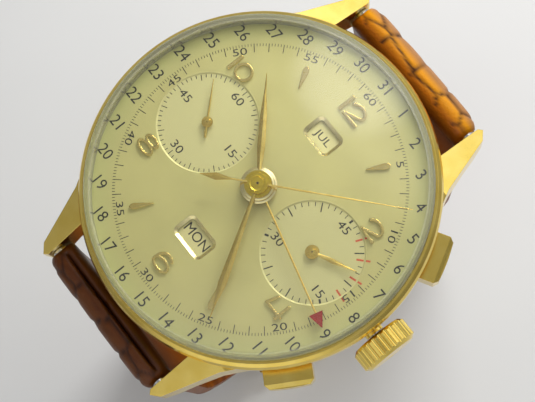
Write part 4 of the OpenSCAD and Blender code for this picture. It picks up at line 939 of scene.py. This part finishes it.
tongue_notch = slot_cutter(half=0.95, start=BUCKLE_Y - 3.0, end=BUCKLE_Y + 1.4, corner=0.2,
                           low=LOOP_Z - 3, high=LOOP_Z + 3)
tongue_slot = slot_cutter(half=0.65, start=BUCKLE_Y - 6.3, end=BUCKLE_Y - 0.4, corner=0.6,
                          low=LOOP_Z - 6, high=LOOP_Z + 2)
spare_hole = slot_cutter(half=0.8, start=BUCKLE_Y + 6.8, end=BUCKLE_Y + 8.4, corner=0.78,
                         low=LOOP_Z - 6, high=LOOP_Z - 1.3)
build_strap("strap_upper", "strap_buckle_side", side=1, length=BUCKLE_S, lift_of=lambda s: 0.0,
            thick_of=strap_thick, half_of=strap_half, seed=11, finish="leather", tools=[tongue_notch])
build_strap("strap_lower", "strap_tail_side", side=-1, length=TAIL_LEN - TAIL_THICK / 2, lift_of=tail_lift,
            thick_of=tail_thick, half_of=tail_half, seed=29, finish="leather_painted_shade",
            tools=[tongue_slot, spare_hole], slit=True)
keeper_band("keeper_fixed", "fixed_keeper", "case")
keeper_band("keeper_loose", "loose_keeper", "loose_keeper_body")


# Floor, light and camera

def pale_floor():
    """A wide pale floor under the lowest point of the part."""
    half = 1500.0
    shader = Shader("floor", Roughness=0.6)
    cloud = shader.ramp(shader.noise(size=60.0), (0.3, (0.70, 0.70, 0.69)), (0.7, (0.74, 0.74, 0.73)))
    shader.link(cloud, "Base Color")
    z = cad_box[0][2] / MM
    mesh = bpy.data.meshes.new("floor")
    corners = [(-half, -half, z), (half, -half, z), (half, half, z), (-half, half, z)]
    mesh.from_pydata([Vector(p) * MM for p in corners], [], [(0, 1, 2, 3)])
    mesh.materials.append(shader.material)
    floor = bpy.data.objects.new("floor", mesh)
    bpy.context.scene.collection.objects.link(floor)


def area_light(name, place, aim, size, watts):
    """A soft rectangular lamp that polished metal doesn't mirror."""
    lamp = bpy.data.lights.new(name, "AREA")
    lamp.shape = "RECTANGLE"
    lamp.size = size[0] * MM
    lamp.size_y = size[1] * MM
    lamp.energy = watts
    obj = bpy.data.objects.new(name, lamp)
    obj.location = Vector(place) * MM
    obj.rotation_euler = (Vector(aim) - Vector(place)).to_track_quat("-Z", "Y").to_euler()
    obj.visible_glossy = False
    bpy.context.scene.collection.objects.link(obj)


def glow(tree, direction, *stops):
    """Soft patch of light in the surroundings: grey levels by the cosine from its middle."""
    place = tree.nodes.new("ShaderNodeTexCoord")
    facing = tree.nodes.new("ShaderNodeVectorMath")
    facing.operation = "DOT_PRODUCT"
    tree.links.new(place.outputs["Generated"], facing.inputs[0])
    facing.inputs[1].default_value = Vector(direction).normalized()
    ramp = tree.nodes.new("ShaderNodeValToRGB")
    ramp.color_ramp.interpolation = "EASE"
    band = ramp.color_ramp.elements
    while len(band) < len(stops):
        band.new(1.0)
    for element, (cosine, level) in zip(band, stops):
        element.position = cosine
        element.color = (level, level, level, 1.0)
    tree.links.new(facing.outputs["Value"], ramp.inputs["Fac"])
    return ramp.outputs["Color"]


def surroundings():
    """Dim room with a wide soft light beyond 12 o'clock, a small one above it and a weaker one towards 4."""
    world = bpy.data.worlds.new("studio")
    world.use_nodes = True
    tree = world.node_tree
    pair = tree.nodes.new("ShaderNodeVectorMath")
    total = tree.nodes.new("ShaderNodeVectorMath")
    main = glow(tree, (-0.1, 0.78, 0.62), (0.45, 0.09), (0.80, 0.16), (0.90, 0.35), (0.97, 0.40))
    weak = glow(tree, (0.5, -0.6, 0.62), (0.6, 0.0), (0.95, 0.26))
    high = glow(tree, (-0.28, 0.50, 0.82), (0.973, 0.0), (0.993, 0.58))
    tree.links.new(main, pair.inputs[0])
    tree.links.new(weak, pair.inputs[1])
    tree.links.new(pair.outputs["Vector"], total.inputs[0])
    tree.links.new(high, total.inputs[1])
    background = tree.nodes["Background"]
    background.inputs["Strength"].default_value = 2.6
    tree.links.new(total.outputs["Vector"], background.inputs["Color"])
    bpy.context.scene.world = world


def photo_camera():
    """Camera above the dial, leaning a little towards 4 o'clock, turned so that 12 is at the upper right."""
    aim = Vector((1.70, -0.26, 7.7))
    distance = 140.0
    lean = math.radians(12.2)
    towards = math.radians(-13.65)
    turn_round = math.radians(51.9)
    away = Vector((math.cos(towards) * math.sin(lean), math.sin(towards) * math.sin(lean), math.cos(lean)))
    picture_up = Vector((-math.sin(turn_round), math.cos(turn_round), 0.0))
    across = picture_up.cross(away).normalized()
    up = away.cross(across).normalized()
    turn = Matrix((across, up, away)).transposed()
    data = bpy.data.cameras.new("camera")
    data.lens = 90.8
    data.sensor_width = 36.0
    data.clip_start = 0.01
    data.clip_end = 10.0
    camera = bpy.data.objects.new("camera", data)
    camera.matrix_world = Matrix.Translation((aim + away * distance) * MM) @ turn.to_4x4()
    bpy.context.scene.collection.objects.link(camera)
    bpy.context.scene.camera = camera


pale_floor()
area_light("key", place=(-45, 92, 62), aim=(0, 0, 5), size=(70, 36), watts=0.14)
surroundings()
bpy.context.scene.view_settings.view_transform = "Standard"
photo_camera()
